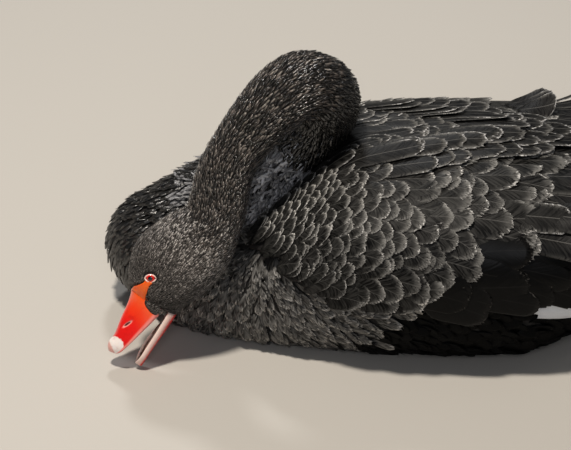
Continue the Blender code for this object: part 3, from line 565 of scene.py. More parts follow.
# The head's sections are read by a natural spline, from 0, the nape, to 7, the face.
# x = middle + rise sin lean, y = half width sin a (1 - 0.1 cos a), z = middle + rise cos lean,
# with rise = half height cos a and the angle a from the crown to the left.
def headLocal(at, angle, depth):
    rows = np.array(headShape["sections"])
    columns = splineColumns(rows, np.arange(len(rows)), np.ravel(np.asarray(at, float)))
    middleX, middleZ, halfHeight, halfWidth, lean = columns.T.reshape(5, *np.shape(at))
    tip = np.radians(lean)
    shrink = depth / headShape["scale"]
    rise = (halfHeight - shrink) * np.cos(angle)
    y = (halfWidth - shrink) * np.sin(angle) * (1 - 0.10 * np.cos(angle))
    return middleX + rise * np.sin(tip), y + 0 * rise, middleZ + rise * np.cos(tip)


# The neck: a tube along a spline, from the bulge before the breast to the nape

neckShape = {
    # x, y, z, radius
    "course": (
        (-0.2525, 0.014, 0.0655, 0.0645), (-0.2155, 0.013, 0.0965, 0.059), (-0.175, 0.011, 0.132, 0.052),
        (-0.1312, 0.010, 0.1747, 0.0455), (-0.0983, 0.006, 0.211, 0.041), (-0.0815, -0.008, 0.246, 0.038),
        (-0.085, -0.027, 0.274, 0.037), (-0.103, -0.041, 0.2875, 0.037), (-0.125, -0.050, 0.2775, 0.0355),
        (-0.1464, -0.057, 0.256, 0.033), (-0.1683, -0.064, 0.228, 0.030), (-0.185, -0.073, 0.193, 0.031),
    ),
    "lastRadius": 0.036, "rings": 150, "sides": 56,
    "frontLean": (8, 82, 12),  # the front end's rings, in degrees from its pole, and how many
    # the coat's depth on the bulge and on the neck, and the run over which it gets thinner
    "bulgeDepth": 0.0045, "coatDepth": 0.0026, "thinFrom": 0.05, "thinRun": 0.10,
}


# Centres, tangents, the angle's zero direction and radii of the neck's rings.
def neckCourse():
    nextX, nextZ = headShape["sections"][2][:2]
    nape, after = headPoint(napeX, 0, napeZ), headPoint(nextX, 0, nextZ)
    knots = np.array([
        *neckShape["course"], (*nape, napeHeight * headShape["scale"]), (*after, neckShape["lastRadius"]),
    ])
    at = runAlong(knots[:, :3])
    fine = splineColumns(knots, at, np.linspace(0, at[-2], neckShape["rings"]))
    centres, radii = fine[:, :3], fine[:, 3]
    tangents = unit(np.gradient(centres, axis=0))
    ups = np.empty_like(centres)
    up = headUp
    for i in reversed(range(len(centres))):
        up = up - tangents[i] * (up @ tangents[i])
        up = up / np.linalg.norm(up)
        ups[i] = up
    return centres, tangents, ups, radii


neckCentres, neckTangents, neckUps, neckRadii = neckCourse()
neckLefts = np.cross(neckUps, neckTangents)
neckRun = runAlong(neckCentres)


# The neck's rings, with its round front end.
def neckRings():
    angle = turns(neckShape["sides"])
    spokes = neckUps[:, None] * np.cos(angle)[:, None] + neckLefts[:, None] * np.sin(angle)[:, None]
    thin = smoothStep((neckRun - neckShape["thinFrom"]) / neckShape["thinRun"])
    radius = (neckRadii - blendOf(neckShape["bulgeDepth"], neckShape["coatDepth"], thin))[:, None, None]
    lean = np.radians(np.linspace(*neckShape["frontLean"]))[:, None, None]
    ball = neckCentres[0] + (radius[0] * np.sin(lean)) * spokes[0]
    ball = ball - neckTangents[0] * radius[0] * np.cos(lean)
    return np.concatenate([ball, neckCentres[:, None] + spokes * radius])


def headRings():
    at = np.linspace(headShape["firstRing"], lastSection, headShape["rings"])[:, None]
    return headPoint(*headLocal(at, turns(neckShape["sides"]), headShape["coatDepth"]))


# The upper bill's arch and the borders of the bare face, in the head's frame

billShape = {
    # culmen x and z, cutting edge x and z, half width, from the face to the nail
    "rows": (
        (0.0080, 0.0405, -0.0020, 0.0030, 0.0188), (0.0160, 0.0352, 0.0088, 0.0030, 0.0172),
        (0.0260, 0.0308, 0.0196, 0.0026, 0.0157), (0.0360, 0.0270, 0.0300, 0.0024, 0.0147),
        (0.0460, 0.0226, 0.0400, 0.0022, 0.0141), (0.0540, 0.0192, 0.0480, 0.0021, 0.0135),
        (0.0610, 0.0178, 0.0550, 0.0021, 0.0122), (0.0670, 0.0150, 0.0610, 0.0022, 0.0095),
        (0.0705, 0.0106, 0.0665, 0.0034, 0.0050),
    ),
    "stations": 140, "sides": 73, "palateSides": 13,
    "nostril": (0.0350, 0.0182), "nostrilLong": 0.0056, "nostrilHigh": 0.0013, "nostrilDeep": 0.0022,
    "nailX": 0.0665, "nailWide": 0.0070, "nailHigh": 0.0008, "lipHigh": 0.0022, "lipOut": 0.0004,
}
faceLine = {
    "upper": ((-0.0150, 0.0392), (-0.0100, 0.0388), (-0.0038, 0.0400), (0.0031, 0.0415), (0.0076, 0.0404)),
    "lower": ((-0.0165, 0.0322), (-0.0125, 0.0322), (-0.0060, 0.0294), (0.0004, 0.0262), (0.0036, 0.0236)),
    # the feathered cheek's border over the bill's base, down to the gape
    "cheek": ((0.0036, 0.0236), (0.0058, 0.0222), (0.0074, 0.0190), (0.0078, 0.0155), (0.0082, 0.0115),
              (0.0074, 0.0070), (0.0050, 0.0040)),
}


# The face is a plane that leans forward with height, and stands just before the skin.
def faceX(z):
    return faceMiddleX + 0.0003 + (z - faceMiddleZ) * faceSlope


# The arch: y = -w cos a, and x and z go from the cutting edge to the culmen by sin(a)^p.
# p is 0.70 at the base, where the horn is as full as the head, and 0.85 further forward.
def upperBillArch():
    rows = np.array(billShape["rows"])
    at = np.linspace(0, len(rows) - 1, billShape["stations"])
    topX, topZ, edgeX, edgeZ, width = [c[:, None] for c in splineColumns(rows, np.arange(len(rows)), at).T]
    angle = np.linspace(0, np.pi, billShape["sides"])[None, :]
    rise = np.sin(angle) ** (0.70 + 0.15 * smoothStep(at[:, None] / 2))
    x, y, z = edgeX + (topX - edgeX) * rise, -width * np.cos(angle), edgeZ + (topZ - edgeZ) * rise
    return x, y, z, (topX, topZ, edgeX, edgeZ, width)


# One skin for the torso, neck and head

skinShape = {"voxel": 0.0027, "smoothing": 8, "bodyBlend": 0.012, "headBlend": 0.010, "headMiddleZ": 0.026}


# Reads a mesh's numbers, "size" of them for each item.
def readAll(items, key, size, kind):
    values = np.empty(len(items) * size, kind)
    items.foreach_get(key, values)
    return values.reshape(-1, size) if size > 1 else values


def treeOf(points, quads, tris=noFaces):
    return BVHTree.FromPolygons(points.tolist(), quads.tolist() + tris.tolist())


bodyParts = closedLoft(bodyRings())
tubeParts = closedLoft(np.concatenate([neckRings()[:-2], headRings()]))
skinPartTrees = [treeOf(*parts) for parts in (bodyParts, closedLoft(neckRings()), closedLoft(headRings()))]


def nearestDistances(tree, points):
    return np.array([tree.find_nearest(p)[3] for p in points.tolist()])


# What places of the skin belong to: "tube" is the share of neck and head against torso,
# "head" of head against neck, then the nearest ring of the neck and the angle round it.
def belonging(points):
    toBody, toNeck, toHeadSkin = (nearestDistances(tree, points) for tree in skinPartTrees)
    ring = np.empty(len(points), int)
    for start in range(0, len(points), 20000):
        part = points[start:start + 20000]
        ring[start:start + 20000] = ((part[:, None] - neckCentres) ** 2).sum(-1).argmin(1)
    head = smoothStep(0.5 + (toNeck - toHeadSkin) / skinShape["headBlend"])
    ring = np.where(head > 0.5, len(neckCentres) - 1, ring)
    off = points - neckCentres[ring]
    neckAngle = np.arctan2((off * neckLefts[ring]).sum(-1), (off * neckUps[ring]).sum(-1))
    local = toHead(points)
    headAngle = np.arctan2(local[:, 1], local[:, 2] - skinShape["headMiddleZ"])
    tube = smoothStep(0.5 + (toBody - np.minimum(toNeck, toHeadSkin)) / skinShape["bodyBlend"])
    # the run in metres, which goes on over the head, and as a share of the neck
    run = neckRun[ring] + np.where(head > 0.5, np.maximum(local[:, 0] - napeX, 0.0), 0.0)
    return {
        "tube": tube, "head": head, "ring": ring, "run": run, "share": neckRun[ring] / neckRun[-1],
        "angle": np.where(head > 0.5, headAngle, neckAngle), "local": local,
    }


def buildSkin(finish):
    shift = len(bodyParts[0])
    rough = meshObject("rough_skin", (
        np.concatenate([bodyParts[0], tubeParts[0]]), np.concatenate([bodyParts[1], tubeParts[1] + shift]),
        np.concatenate([bodyParts[2], tubeParts[2] + shift]),
    ), finish)
    remesh = rough.modifiers.new("voxels", "REMESH")
    remesh.mode, remesh.voxel_size = "VOXEL", skinShape["voxel"]
    soften = rough.modifiers.new("soften", "SMOOTH")
    soften.factor, soften.iterations = 0.5, skinShape["smoothing"]
    graph = bpy.context.evaluated_depsgraph_get()
    mesh = bpy.data.meshes.new_from_object(rough.evaluated_get(graph))
    bpy.data.objects.remove(rough, do_unlink=True)
    mesh.name = "skin"
    mesh.materials.clear()
    mesh.materials.append(finish)
    mesh.shade_smooth()
    skin = bpy.data.objects.new("skin", mesh)
    bpy.context.scene.collection.objects.link(skin)
    return skin


# The bake map's unwrap of the skin: the torso fills the lower half, X along and the angle
# about its middle up; the neck and head fill the upper half, length along and angle up.
unwrap = {
    "bodyFrom": -0.34, "bodyRun": 0.78, "bodyRow": 0.25, "tubeOver": 0.07, "tubeMore": 0.19, "tubeRow": 0.75,
    "halfTurn": 0.22, "margin": 0.01, "limits": (0.004, 0.996),
}


def bodyUnwrap(points):
    angle = np.arctan2(points[:, 1], points[:, 2] - bodyWaist(points[:, 0]))
    return (points[:, 0] - unwrap["bodyFrom"]) / unwrap["bodyRun"], angle


def tubeUnwrap(points, spot):
    lean = ((points - neckCentres[0]) * -neckTangents[0]).sum(-1)
    length = spot["run"] - np.where(spot["ring"] == 0, np.maximum(lean, 0.0), 0.0)
    return (length + unwrap["tubeOver"]) / (neckRun[-1] + unwrap["tubeMore"]), spot["angle"]


def onMap(u, angle, row):
    u = unwrap["margin"] + (1 - 2 * unwrap["margin"]) * u
    return clamp(np.stack([u, row + unwrap["halfTurn"] * angle / np.pi], -1), *unwrap["limits"])


def bodyPlaces(points):
    return onMap(*bodyUnwrap(points), unwrap["bodyRow"])


def skinPlaces(points, spot):
    onTube = (spot["tube"] > 0.5)[:, None]
    return np.where(onTube, onMap(*tubeUnwrap(points, spot), unwrap["tubeRow"]), bodyPlaces(points))


# Gives each face of the skin its corners' places, kept whole across the seam.
def unwrapSkin(mesh, points, spot):
    corner = readAll(mesh.loops, "vertex_index", 1, np.int32)
    starts = readAll(mesh.polygons, "loop_start", 1, np.int32)
    face = np.repeat(np.arange(len(starts)), np.diff(np.append(starts, len(corner))))
    onTube = (spot["tube"][corner[starts]] > 0.5)[face]
    bodyU, bodyAngle = bodyUnwrap(points)
    tubeU, tubeAngle = tubeUnwrap(points, spot)
    u = np.where(onTube, tubeU[corner], bodyU[corner])
    angle = np.where(onTube, tubeAngle[corner], bodyAngle[corner])
    first = angle[starts][face]
    angle = first + (angle - first + np.pi) % (2 * np.pi) - np.pi
    places = onMap(u, angle, np.where(onTube, unwrap["tubeRow"], unwrap["bodyRow"]))
    mesh.uv_layers.new(name="OFBake").uv.foreach_set("vector", places.astype(np.float32).ravel())


skinFinish = skinMaterial()
skin = buildSkin(skinFinish)
skin.data.calc_loop_triangles()
skinPoints = readAll(skin.data.vertices, "co", 3, np.float32).astype(float)
skinNormals = readAll(skin.data.vertex_normals, "vector", 3, np.float32).astype(float)
skinTris = readAll(skin.data.loop_triangles, "vertices", 3, np.int32)
unwrapSkin(skin.data, skinPoints, belonging(skinPoints))
dress(skin, "black_feathers", "torso", "neck_base", "neck_lower", "neck_loop", "neck_upper", "head")
print("skin:", len(skinTris), "triangles")


# The feathered cheek goes on over the bill's base to its own border: a sheet that starts as
# wide as the head and ends on the horn. Its outer face joins the skin that roots stand on.
cheekShape = {
    "rows": 28, "cols": 14, "thick": 0.0012, "belowGape": 0.0006, "baseOver": 0.0004, "endOver": 0.00015,
}


def buildCheek(sideName, sign):
    border = np.array(faceLine["cheek"])[::-1]
    z = np.linspace(border[-1, 1], border[0, 1] - cheekShape["belowGape"], cheekShape["rows"])[:, None]
    share = np.linspace(0, 1, cheekShape["cols"])[None, :]
    thick = cheekShape["thick"]
    x = faceX(z) - thick + (np.interp(z, border[:, 1], border[:, 0]) - faceX(z) + thick) * share
    z = z + 0 * x
    archX, archY, archZ, _ = upperBillArch()
    near = ((archX.ravel() - x[..., None]) ** 2 + (archZ.ravel() - z[..., None]) ** 2).argmin(-1)
    horn = np.abs(archY.ravel()[near])
    _, headY, headZ = headLocal(lastSection, np.linspace(0.02, np.pi - 0.02, 80), headShape["coatDepth"])
    over = np.maximum(np.interp(z, headZ[::-1], headY[::-1]) - horn, cheekShape["baseOver"])
    over = blendOf(over, cheekShape["endOver"], smoothStep(share))
    outer, inner = headPoint(x, sign * (horn + over), z), headPoint(x, sign * (horn - thick), z)
    shape = closedSheet(outer, inner)
    maps = {"OFBake": skinPlaces(shape[0], belonging(shape[0]))}
    dress(meshObject(f"cheek_skin_{sideName}", shape, skinFinish, maps), "black_feathers")
    outward = unit(headLeft * sign + 0.25 * headUp)
    quads = gridQuads(*x.shape)
    outer = outer.reshape(-1, 3)
    a, b, c = outer[quads[0, :3]]
    quads = quads if np.cross(b - a, c - a) @ outward > 0 else quads[:, ::-1]
    return outer, np.broadcast_to(outward, (x.size, 3)), np.concatenate([quads[:, :3], quads[:, [0, 2, 3]]])


for sideName, sign in sides:
    cheekPoints, cheekNormals, cheekTris = buildCheek(sideName, sign)
    skinTris = np.concatenate([skinTris, cheekTris + len(skinPoints)])
    skinPoints = np.concatenate([skinPoints, cheekPoints])
    skinNormals = np.concatenate([skinNormals, cheekNormals])
skinTree = treeOf(skinPoints, skinTris)
skinSpot = belonging(skinPoints)


# The lie of the coat

lie = {
    "fanPoint": (-0.164, 0.120, 0.150),  # where the breast feathers fan from, on the right
    "fanReach": 0.17, "fanStretch": (1.0, 0.35, 1.0), "rearSlope": -0.16,
    "bulgeFrom": 0.01, "bulgeRun": 0.06, "backFrom": 0.15, "backRun": 0.03,
    "billMiddle": (0.012, 0.0, 0.012), "headBack": 0.6,  # the rest of the head's flow is away from the bill
}


# On the neck feathers point from the head to the body. On the bulge they turn down round
# its front. On the torso they fan from the wing's front corner, then lie to the rear.
def coatFlow(points, spot):
    roundBall = unit(np.cross([0.0, -1.0, 0.0], points - neckCentres[0]) + np.array([0.0, 0.0, -0.02]))
    ballPart = 1 - smoothStep((neckRun[spot["ring"]] - lie["bulgeFrom"]) / lie["bulgeRun"])
    alongTube = blendOf(-neckTangents[spot["ring"]], roundBall, ballPart[:, None])
    fromBill = unit(points - headPoint(*lie["billMiddle"]))
    headFlow = unit(-lie["headBack"] * headForward + (1 - lie["headBack"]) * fromBill)
    alongTube = blendOf(alongTube, headFlow, spot["head"][:, None])
    side = np.sign(points[:, 1] + 1e-9)
    fan = np.array(lie["fanPoint"]) * np.stack([1 + 0 * side, side, 1 + 0 * side], -1)
    spread = unit((points - fan) * np.array(lie["fanStretch"]))
    rear = np.array([1.0, 0.0, lie["rearSlope"]])
    rearPart = smoothStep((points[:, 0] - lie["fanPoint"][0] + 0.02) / lie["fanReach"])
    overBack = smoothStep((points[:, 2] - lie["backFrom"]) / lie["backRun"])
    alongBody = unit(blendOf(spread, rear, np.maximum(rearPart, overBack)[:, None]))
    return unit(blendOf(alongBody, unit(alongTube), spot["tube"][:, None]))


# Feathers

# One feather's points as shares along and across it. A "lens" is an arched vane closed
# by a flat underside; a "sheet" has two faces a feather's thickness apart.
def featherGrid(rows, cols, sheet):
    along, across = np.meshgrid(np.linspace(0, 1, rows) ** 0.85, np.linspace(-1, 1, cols), indexing="ij")
    size = rows * cols
    if sheet:
        quads, tris = sheetQuads(rows, cols), noFaces
    else:
        left = cols * np.arange(rows - 1)
        bottom = np.stack([left, left + cols - 1, left + 2 * cols - 1, left + cols], -1)
        j = np.arange(1, cols - 1)
        quads = np.concatenate([gridQuads(rows, cols), bottom])
        rootFan, tipFan = np.stack([0 * j, j, j + 1], -1), np.stack([0 * j, j + 1, j], -1) + size - cols
        tris = np.concatenate([rootFan, tipFan])
    faces = 2 if sheet else 1
    return {
        "along": np.tile(along.ravel(), faces), "across": np.tile(across.ravel(), faces), "cols": cols,
        "under": np.repeat([0.0, 1.0][:faces], size), "column": np.tile(np.arange(size) % cols, faces),
        "quads": quads, "tris": tris,
    }


vane = {
    "rootWidth": 0.45, "wideFrom": 0.4, "tipNarrowing": 0.10, "roundMost": 0.7, "oddNotch": 0.6,
    "onGround": 0.0015,  # feathers that would reach into the floor are pressed flat this high
    "bakePatch": 0.003,
    "reach": 0.30,  # how near the skin a feather's middle and end must pass, over its length
}


# Where the grid's points lie on each feather: distance along, which the round tip and
# worn barbs shorten at the edges, and distance across, narrow at the root.
def vaneShape(grid, length, halfWidth, fray, draw):
    s, t = grid["along"], grid["across"]
    cut = clamp(halfWidth / length, 0.0, vane["roundMost"])[:, None] * (1 - np.sqrt(1 - 0.97 * t**2))
    notch = (draw.random((len(length), grid["cols"])) ** 1.5)[:, grid["column"]]
    notch = notch + vane["oddNotch"] * (grid["column"] % 2)
    ends = 1 - cut - fray * notch * (0.4 + np.abs(t)) * s**3
    spread = vane["rootWidth"] + (1 - vane["rootWidth"]) * smoothStep(s / vane["wideFrom"])
    across = t * spread * (1 - vane["tipNarrowing"] * s**3) * halfWidth[:, None]
    return s * ends * length[:, None], across


# Joins the feathers of one batch into one mesh piece; "roots" are their places on the bake map.
def featherPiece(name, grid, places, look, tones, roots, slot="black_feathers", solids=(), flip=False):
    count, size = places.shape[:2]
    low, height = vane["onGround"], places[..., 2]
    places[..., 2] = np.where(height < low, low * np.exp(np.minimum(height - low, 0) / low), height)
    shift = (np.arange(count) * size)[:, None, None]
    quads = (grid["quads"][None] + shift).reshape(-1, 4)
    tris = (grid["tris"][None] + shift).reshape(-1, 3)
    if flip:
        quads, tris = quads[:, ::-1], tris[:, ::-1]
    own = np.stack([0.5 + 0.5 * grid["across"], grid["along"]], -1)
    maps = {
        "feather": np.broadcast_to(own, (count, size, 2)).reshape(-1, 2),
        "OFBake": clamp(roots[:, None] + vane["bakePatch"] * (own - 0.5)[None]).reshape(-1, 2),
    }
    shape = (places.reshape(-1, 3), quads, tris)
    dress(meshObject(name, shape, feathers[look], maps, {"tone": np.repeat(tones, size)}), slot, *solids)
    print(f"{name}: {count} feathers, {2 * len(quads) + len(tris)} triangles")


# Nearest places and normals on the skin, and whether they lie within reach.
def ontoSkin(guess, reach):
    found = [skinTree.find_nearest(p) for p in guess.tolist()]
    places, normals, _, gaps = (np.array(part) for part in zip(*found))
    return places, normals, gaps < reach


# Lays feathers on the skin. Each one's middle line is a parabola through its root and two
# places further along the skin; it rises from the skin towards its tip, is arched across
# and leans to one side. Gives the points, and which found skin under their whole length.
def layOnSkin(grid, roots, normals, flow, length, halfWidth, low, high, lean, draw, fray, arch):
    heading = unit(flow - normals * (flow * normals).sum(-1, keepdims=True))
    half = length[:, None] / 2
    middle, middleUp, middleFound = ontoSkin(roots + heading * half, length * vane["reach"])
    onward = unit(middle - roots)
    onward = unit(onward - middleUp * (onward * middleUp).sum(-1, keepdims=True))
    end, endUp, endFound = ontoSkin(middle + onward * half, length * vane["reach"])
    along, across = vaneShape(grid, length, halfWidth, fray, draw)
    s = (along / length[:, None])[..., None]
    weights = ((1 - s) * (1 - 2 * s), 4 * s * (1 - s), s * (2 * s - 1))
    slopes = (4 * s - 3, 4 - 8 * s, 4 * s - 1)
    knots = (roots[:, None], middle[:, None], end[:, None])
    line = sum(w * k for w, k in zip(weights, knots))
    forward = unit(sum(w * k for w, k in zip(slopes, knots)))
    up = unit(sum(w * k[:, None] for w, k in zip(weights, (normals, middleUp, endUp))))
    side = unit(np.cross(up, forward))
    up = np.cross(forward, side)
    t = grid["across"]
    rise = low + (high - low)[:, None] * s[..., 0]
    rise = rise + arch * halfWidth[:, None] * (1 - t**2) + (lean * halfWidth)[:, None] * t
    return line + side * across[..., None] + up * rise[..., None], middleFound & endFound


scatter = {"density": 7, "nearest": 0.66, "cell": 0.001, "levelStep": 1.2, "cellShare": 0.9}


# Roots spread over the skin: dense random places thinned to one for each cell of about the
# wanted size, whose sizes go up in levels, then to none nearer than a share of the spacing.
def scatterRoots(spacings, draw):
    a, b, c = (skinPoints[skinTris[:, k]] for k in range(3))
    area = np.linalg.norm(np.cross(b - a, c - a), axis=-1) / 2
    wanted = spacings[skinTris].mean(1)
    total = np.cumsum(area / wanted**2)
    pick = np.searchsorted(total, draw.random(int(scatter["density"] * total[-1])) * total[-1])
    pick = np.minimum(pick, len(skinTris) - 1)
    r1, r2 = np.sqrt(draw.random(len(pick))), draw.random(len(pick))
    mix = np.stack([1 - r1, r1 * (1 - r2), r1 * r2], -1)[..., None]
    corners = skinTris[pick]
    points = (skinPoints[corners] * mix).sum(1)
    normals = unit((skinNormals[corners] * mix).sum(1))
    spacing = wanted[pick]
    smallest, step = scatter["cell"], scatter["levelStep"]
    level = np.round(np.log(spacing / smallest) / np.log(step)).astype(np.int64)
    cell = np.floor(points / (smallest * step**level * scatter["cellShare"])[:, None]).astype(np.int64) + 4096
    key = ((cell[:, 0] * 8192 + cell[:, 1]) * 8192 + cell[:, 2]) * 64 + level
    first = np.sort(np.unique(key, return_index=True)[1])
    points, normals, spacing = points[first], normals[first], spacing[first]
    tree = KDTree(len(points))
    for i, p in enumerate(points.tolist()):
        tree.insert(p, i)
    tree.balance()
    kept = np.ones(len(points), bool)
    for i, (p, near) in enumerate(zip(points.tolist(), (scatter["nearest"] * spacing).tolist())):
        if kept[i]:
            kept[[j for _, j, _ in tree.find_range(p, near) if j > i]] = False
    return points[kept], normals[kept], spacing[kept]


# The folded wing's outer face, as a table over x and the distance down from the spine

wingShape = {
    "frontX": -0.168, "rearX": 0.385, "tipTop": 0.137, "layer": 0.0105, "lowest": math.radians(-62),
    "tableX": (-0.20, 0.43), "stations": 240, "samples": 150, "deepest": 0.34, "fallFrom": 0.06,
    "waist": 0.082, "waistRise": 0.030, "undercut": 0.062, "rearPowers": (2.3, 0.7), "topPower": 1.7,
    "pastOut": 0.5, "pastDown": 0.86,  # the way below the lowest edge, per distance
    # the upper and lower border at these places, as distance down from the spine in millimetres
    "borderX": (-170, -162.5, -152.5, -135, -115, -85, -72.5, -40, 0, 60, 150),
    "upper": (74, 70, 65, 58, 50, 37, 32, 19, 10, 10, 10),
    "lower": (76.5, 80, 93, 116, 146, 186, 203, 222, 234, 243, 242),
}


# Superellipses like the body's, a little wider, that end under the belly's side. Each is
# read at even distances down from the spine, and goes straight down below its lowest edge.
def wingTable():
    x = np.linspace(*wingShape["tableX"], wingShape["stations"])
    widest, layer, rearX = bodyShape["widestX"], wingShape["layer"], wingShape["rearX"]
    innerPower, outerPower = wingShape["rearPowers"]
    rear = (1 - clamp((x - widest) / (rearX - widest), 0.0, 0.975) ** innerPower) ** outerPower
    width = (bodyShape["halfWidth"] + layer) * np.where(x < widest, frontTaper(x), rear)
    reach = clamp((x - wingShape["fallFrom"]) / (rearX - wingShape["fallFrom"]), 0.0, 1.1)
    fall = bodyShape["backTop"] + layer - wingShape["tipTop"]
    top = backRise(x) + layer - fall * reach ** wingShape["topPower"]
    waist = wingShape["waist"] + wingShape["waistRise"] * clamp((x + 0.17) / (rearX + 0.17))
    angle = np.linspace(np.pi / 2, wingShape["lowest"], 120)
    power = 2 / np.where(angle > 0, bodyShape["topPower"], bodyShape["lowPower"])
    y = -width[:, None] * np.abs(np.cos(angle)) ** power
    rise = np.abs(np.sin(angle)) ** power
    z = waist[:, None] + np.where(angle > 0, (top - waist)[:, None] * rise, -wingShape["undercut"] * rise)
    run = np.concatenate([np.zeros((len(x), 1)), np.cumsum(np.hypot(np.diff(y), np.diff(z)), axis=1)], 1)
    downs = np.linspace(0, wingShape["deepest"], wingShape["samples"])
    past = np.maximum(downs - run[:, -1:], 0.0)
    y, z = (np.array([np.interp(downs, *row) for row in zip(run, part)]) for part in (y, z))
    y, z = y + wingShape["pastOut"] * past, z - wingShape["pastDown"] * past
    table = np.stack([x[:, None] + 0 * past, y, z], -1)
    along, across = np.gradient(table, axis=0), np.gradient(table, axis=1)
    return x, downs, table, unit(np.cross(across, along))


wingX, wingDowns, wingPlaces, wingNormals = wingTable()


# A place over the left wing: the table read between its rows and columns, plus the
# height. Past the spine, where the distance down is negative, the face is mirrored.
def wingPoint(x, down, height):
    x, down, height = np.broadcast_arrays(x, down, height)
    i = clamp((x - wingX[0]) / (wingX[1] - wingX[0]), 0, len(wingX) - 1.001)
    j = clamp(np.abs(down) / wingDowns[1], 0, len(wingDowns) - 1.001)
    i0, j0 = i.astype(int), j.astype(int)
    u, v = (i - i0)[..., None], (j - j0)[..., None]
    place, normal = (
        (table[i0, j0] * (1 - v) + table[i0, j0 + 1] * v) * (1 - u)
        + (table[i0 + 1, j0] * (1 - v) + table[i0 + 1, j0 + 1] * v) * u
        for table in (wingPlaces, wingNormals)
    )
    place = place + unit(normal) * height[..., None]
    place[..., 1] *= np.where(down < 0, -1.0, 1.0)
    return place


# The arm's "upper" or "lower" border at x.
def armEdge(which, x):
    return np.interp(x, np.array(wingShape["borderX"]) / 1000, np.array(wingShape[which]) / 1000)


featherColumns = (
    "x", "down", "heading", "bend", "length", "halfWidth", "low", "high", "curl", "tilt", "ruffle")


# Feathers on the wing's face. Each starts at a place, heads at an angle to the body's
# line, bends by "bend" along its way, and rises from low to high; curl lifts its end.
def layOnWing(grid, rows, draw, fray, thickness):
    x0, down0, heading0, bend, long, wide, low, high, curl, tilt, ruffle = (
        rows[key][:, None] for key in featherColumns)
    along, across = vaneShape(grid, rows["length"], rows["halfWidth"], fray, draw)
    share = along / long
    heading = heading0 + bend * share
    x = x0 + np.cos(heading) * along - np.sin(heading) * across
    down = down0 + np.sin(heading) * along + np.cos(heading) * across
    t = grid["across"][None]
    phase = draw.random((len(long), 1)) * 6.28
    rise = low + (high - low) * share**0.8 + curl * share**3
    rise = rise + 0.08 * wide * (1 - t**2) * (1 - 0.5 * share)
    rise = rise + tilt * t * share + ruffle * share**2 * np.sin(phase + 5 * share + 2.2 * t)
    return wingPoint(x, down, rise - thickness * grid["under"][None])


# Coverts: rows across the arm, each set half a feather off the last, whose feathers grow
# from the front to the rear. "widths" is how much of a feather's width shows at "places".
coverts = {
    "frontX": -0.163, "rearX": 0.122, "rowStep": 0.52, "rowLean": 0.22, "vary": (0.12, 0.10, 0.11),
    "largeFrom": 0.0165, "paintedShadeFrom": 0.325, "paintedShadeSlope": 1.6, "paintedShadeVary": 0.012,
    "places": (-0.160, -0.110, -0.070, -0.020, 0.030, 0.080, 0.130),
    "widths": (0.0095, 0.0125, 0.0165, 0.0225, 0.0280, 0.0315, 0.0335),
    # low down they stop earlier, so that the white quills show behind them
    "lowFrom": 0.214, "lowRearX": 0.150,
}


# Gives the small, the large, and the large ones low at the rear, which are painted near black as painted
# shade.
def covertRows(draw):
    rows = []
    x, odd = coverts["frontX"], 0
    while x < coverts["rearX"]:
        width = np.interp(x, coverts["places"], coverts["widths"])
        upper, lower = armEdge("upper", x) - 0.002, armEdge("lower", x) - 0.40 * width
        downs = np.arange(upper + width * 0.5 * odd, lower, width)
        lean = coverts["rowLean"] * (downs - (upper + lower) / 2)  # rows lean back low down
        spread = [draw.normal(0, share, len(downs)) for share in coverts["vary"]]
        rows.append((x - lean + spread[0] * width, downs + spread[1] * width, width * (1 + spread[2])))
        x += coverts["rowStep"] * width
        odd = 1 - odd
    x, down, size = np.concatenate(rows, 1)
    inside = x + 1.2 * np.maximum(down - 0.19, 0) < coverts["rearX"]
    inside &= (down + 0.4 * size < coverts["lowFrom"]) | (x + 2.4 * size < coverts["lowRearX"])
    x, down, size = x[inside], down[inside], size[inside]
    count = len(x)
    fall = smoothStep((down - armEdge("upper", x)) / 0.12) * (1 - 0.75 * smoothStep((x + 0.13) / 0.2))
    made = {
        "x": x, "down": down, "heading": np.radians(-5 + 27 * fall + draw.normal(0, 6, count)),
        "bend": np.radians(draw.normal(4, 8, count)), "length": (2.1 + 12 * size) * size,
        "halfWidth": 0.72 * size, "low": -0.0030 - 0.03 * size,
        "high": 0.0008 + 0.04 * size + 0.04 * size * draw.random(count),
        "curl": 0.06 * size * draw.random(count) ** 2, "tilt": 0.04 * size * draw.random(count),
        "ruffle": 0.05 * size * draw.random(count),
    }
    large = size > coverts["largeFrom"]
    # Low at the rear the large coverts take the painted shade.
    spread = draw.normal(0, coverts["paintedShadeVary"], count)
    fresh = x + coverts["paintedShadeSlope"] * down + spread > coverts["paintedShadeFrom"]
    kinds = (~large, large & ~fresh, large & fresh)
    return [{key: value[kind] for key, value in made.items()} for kind in kinds]


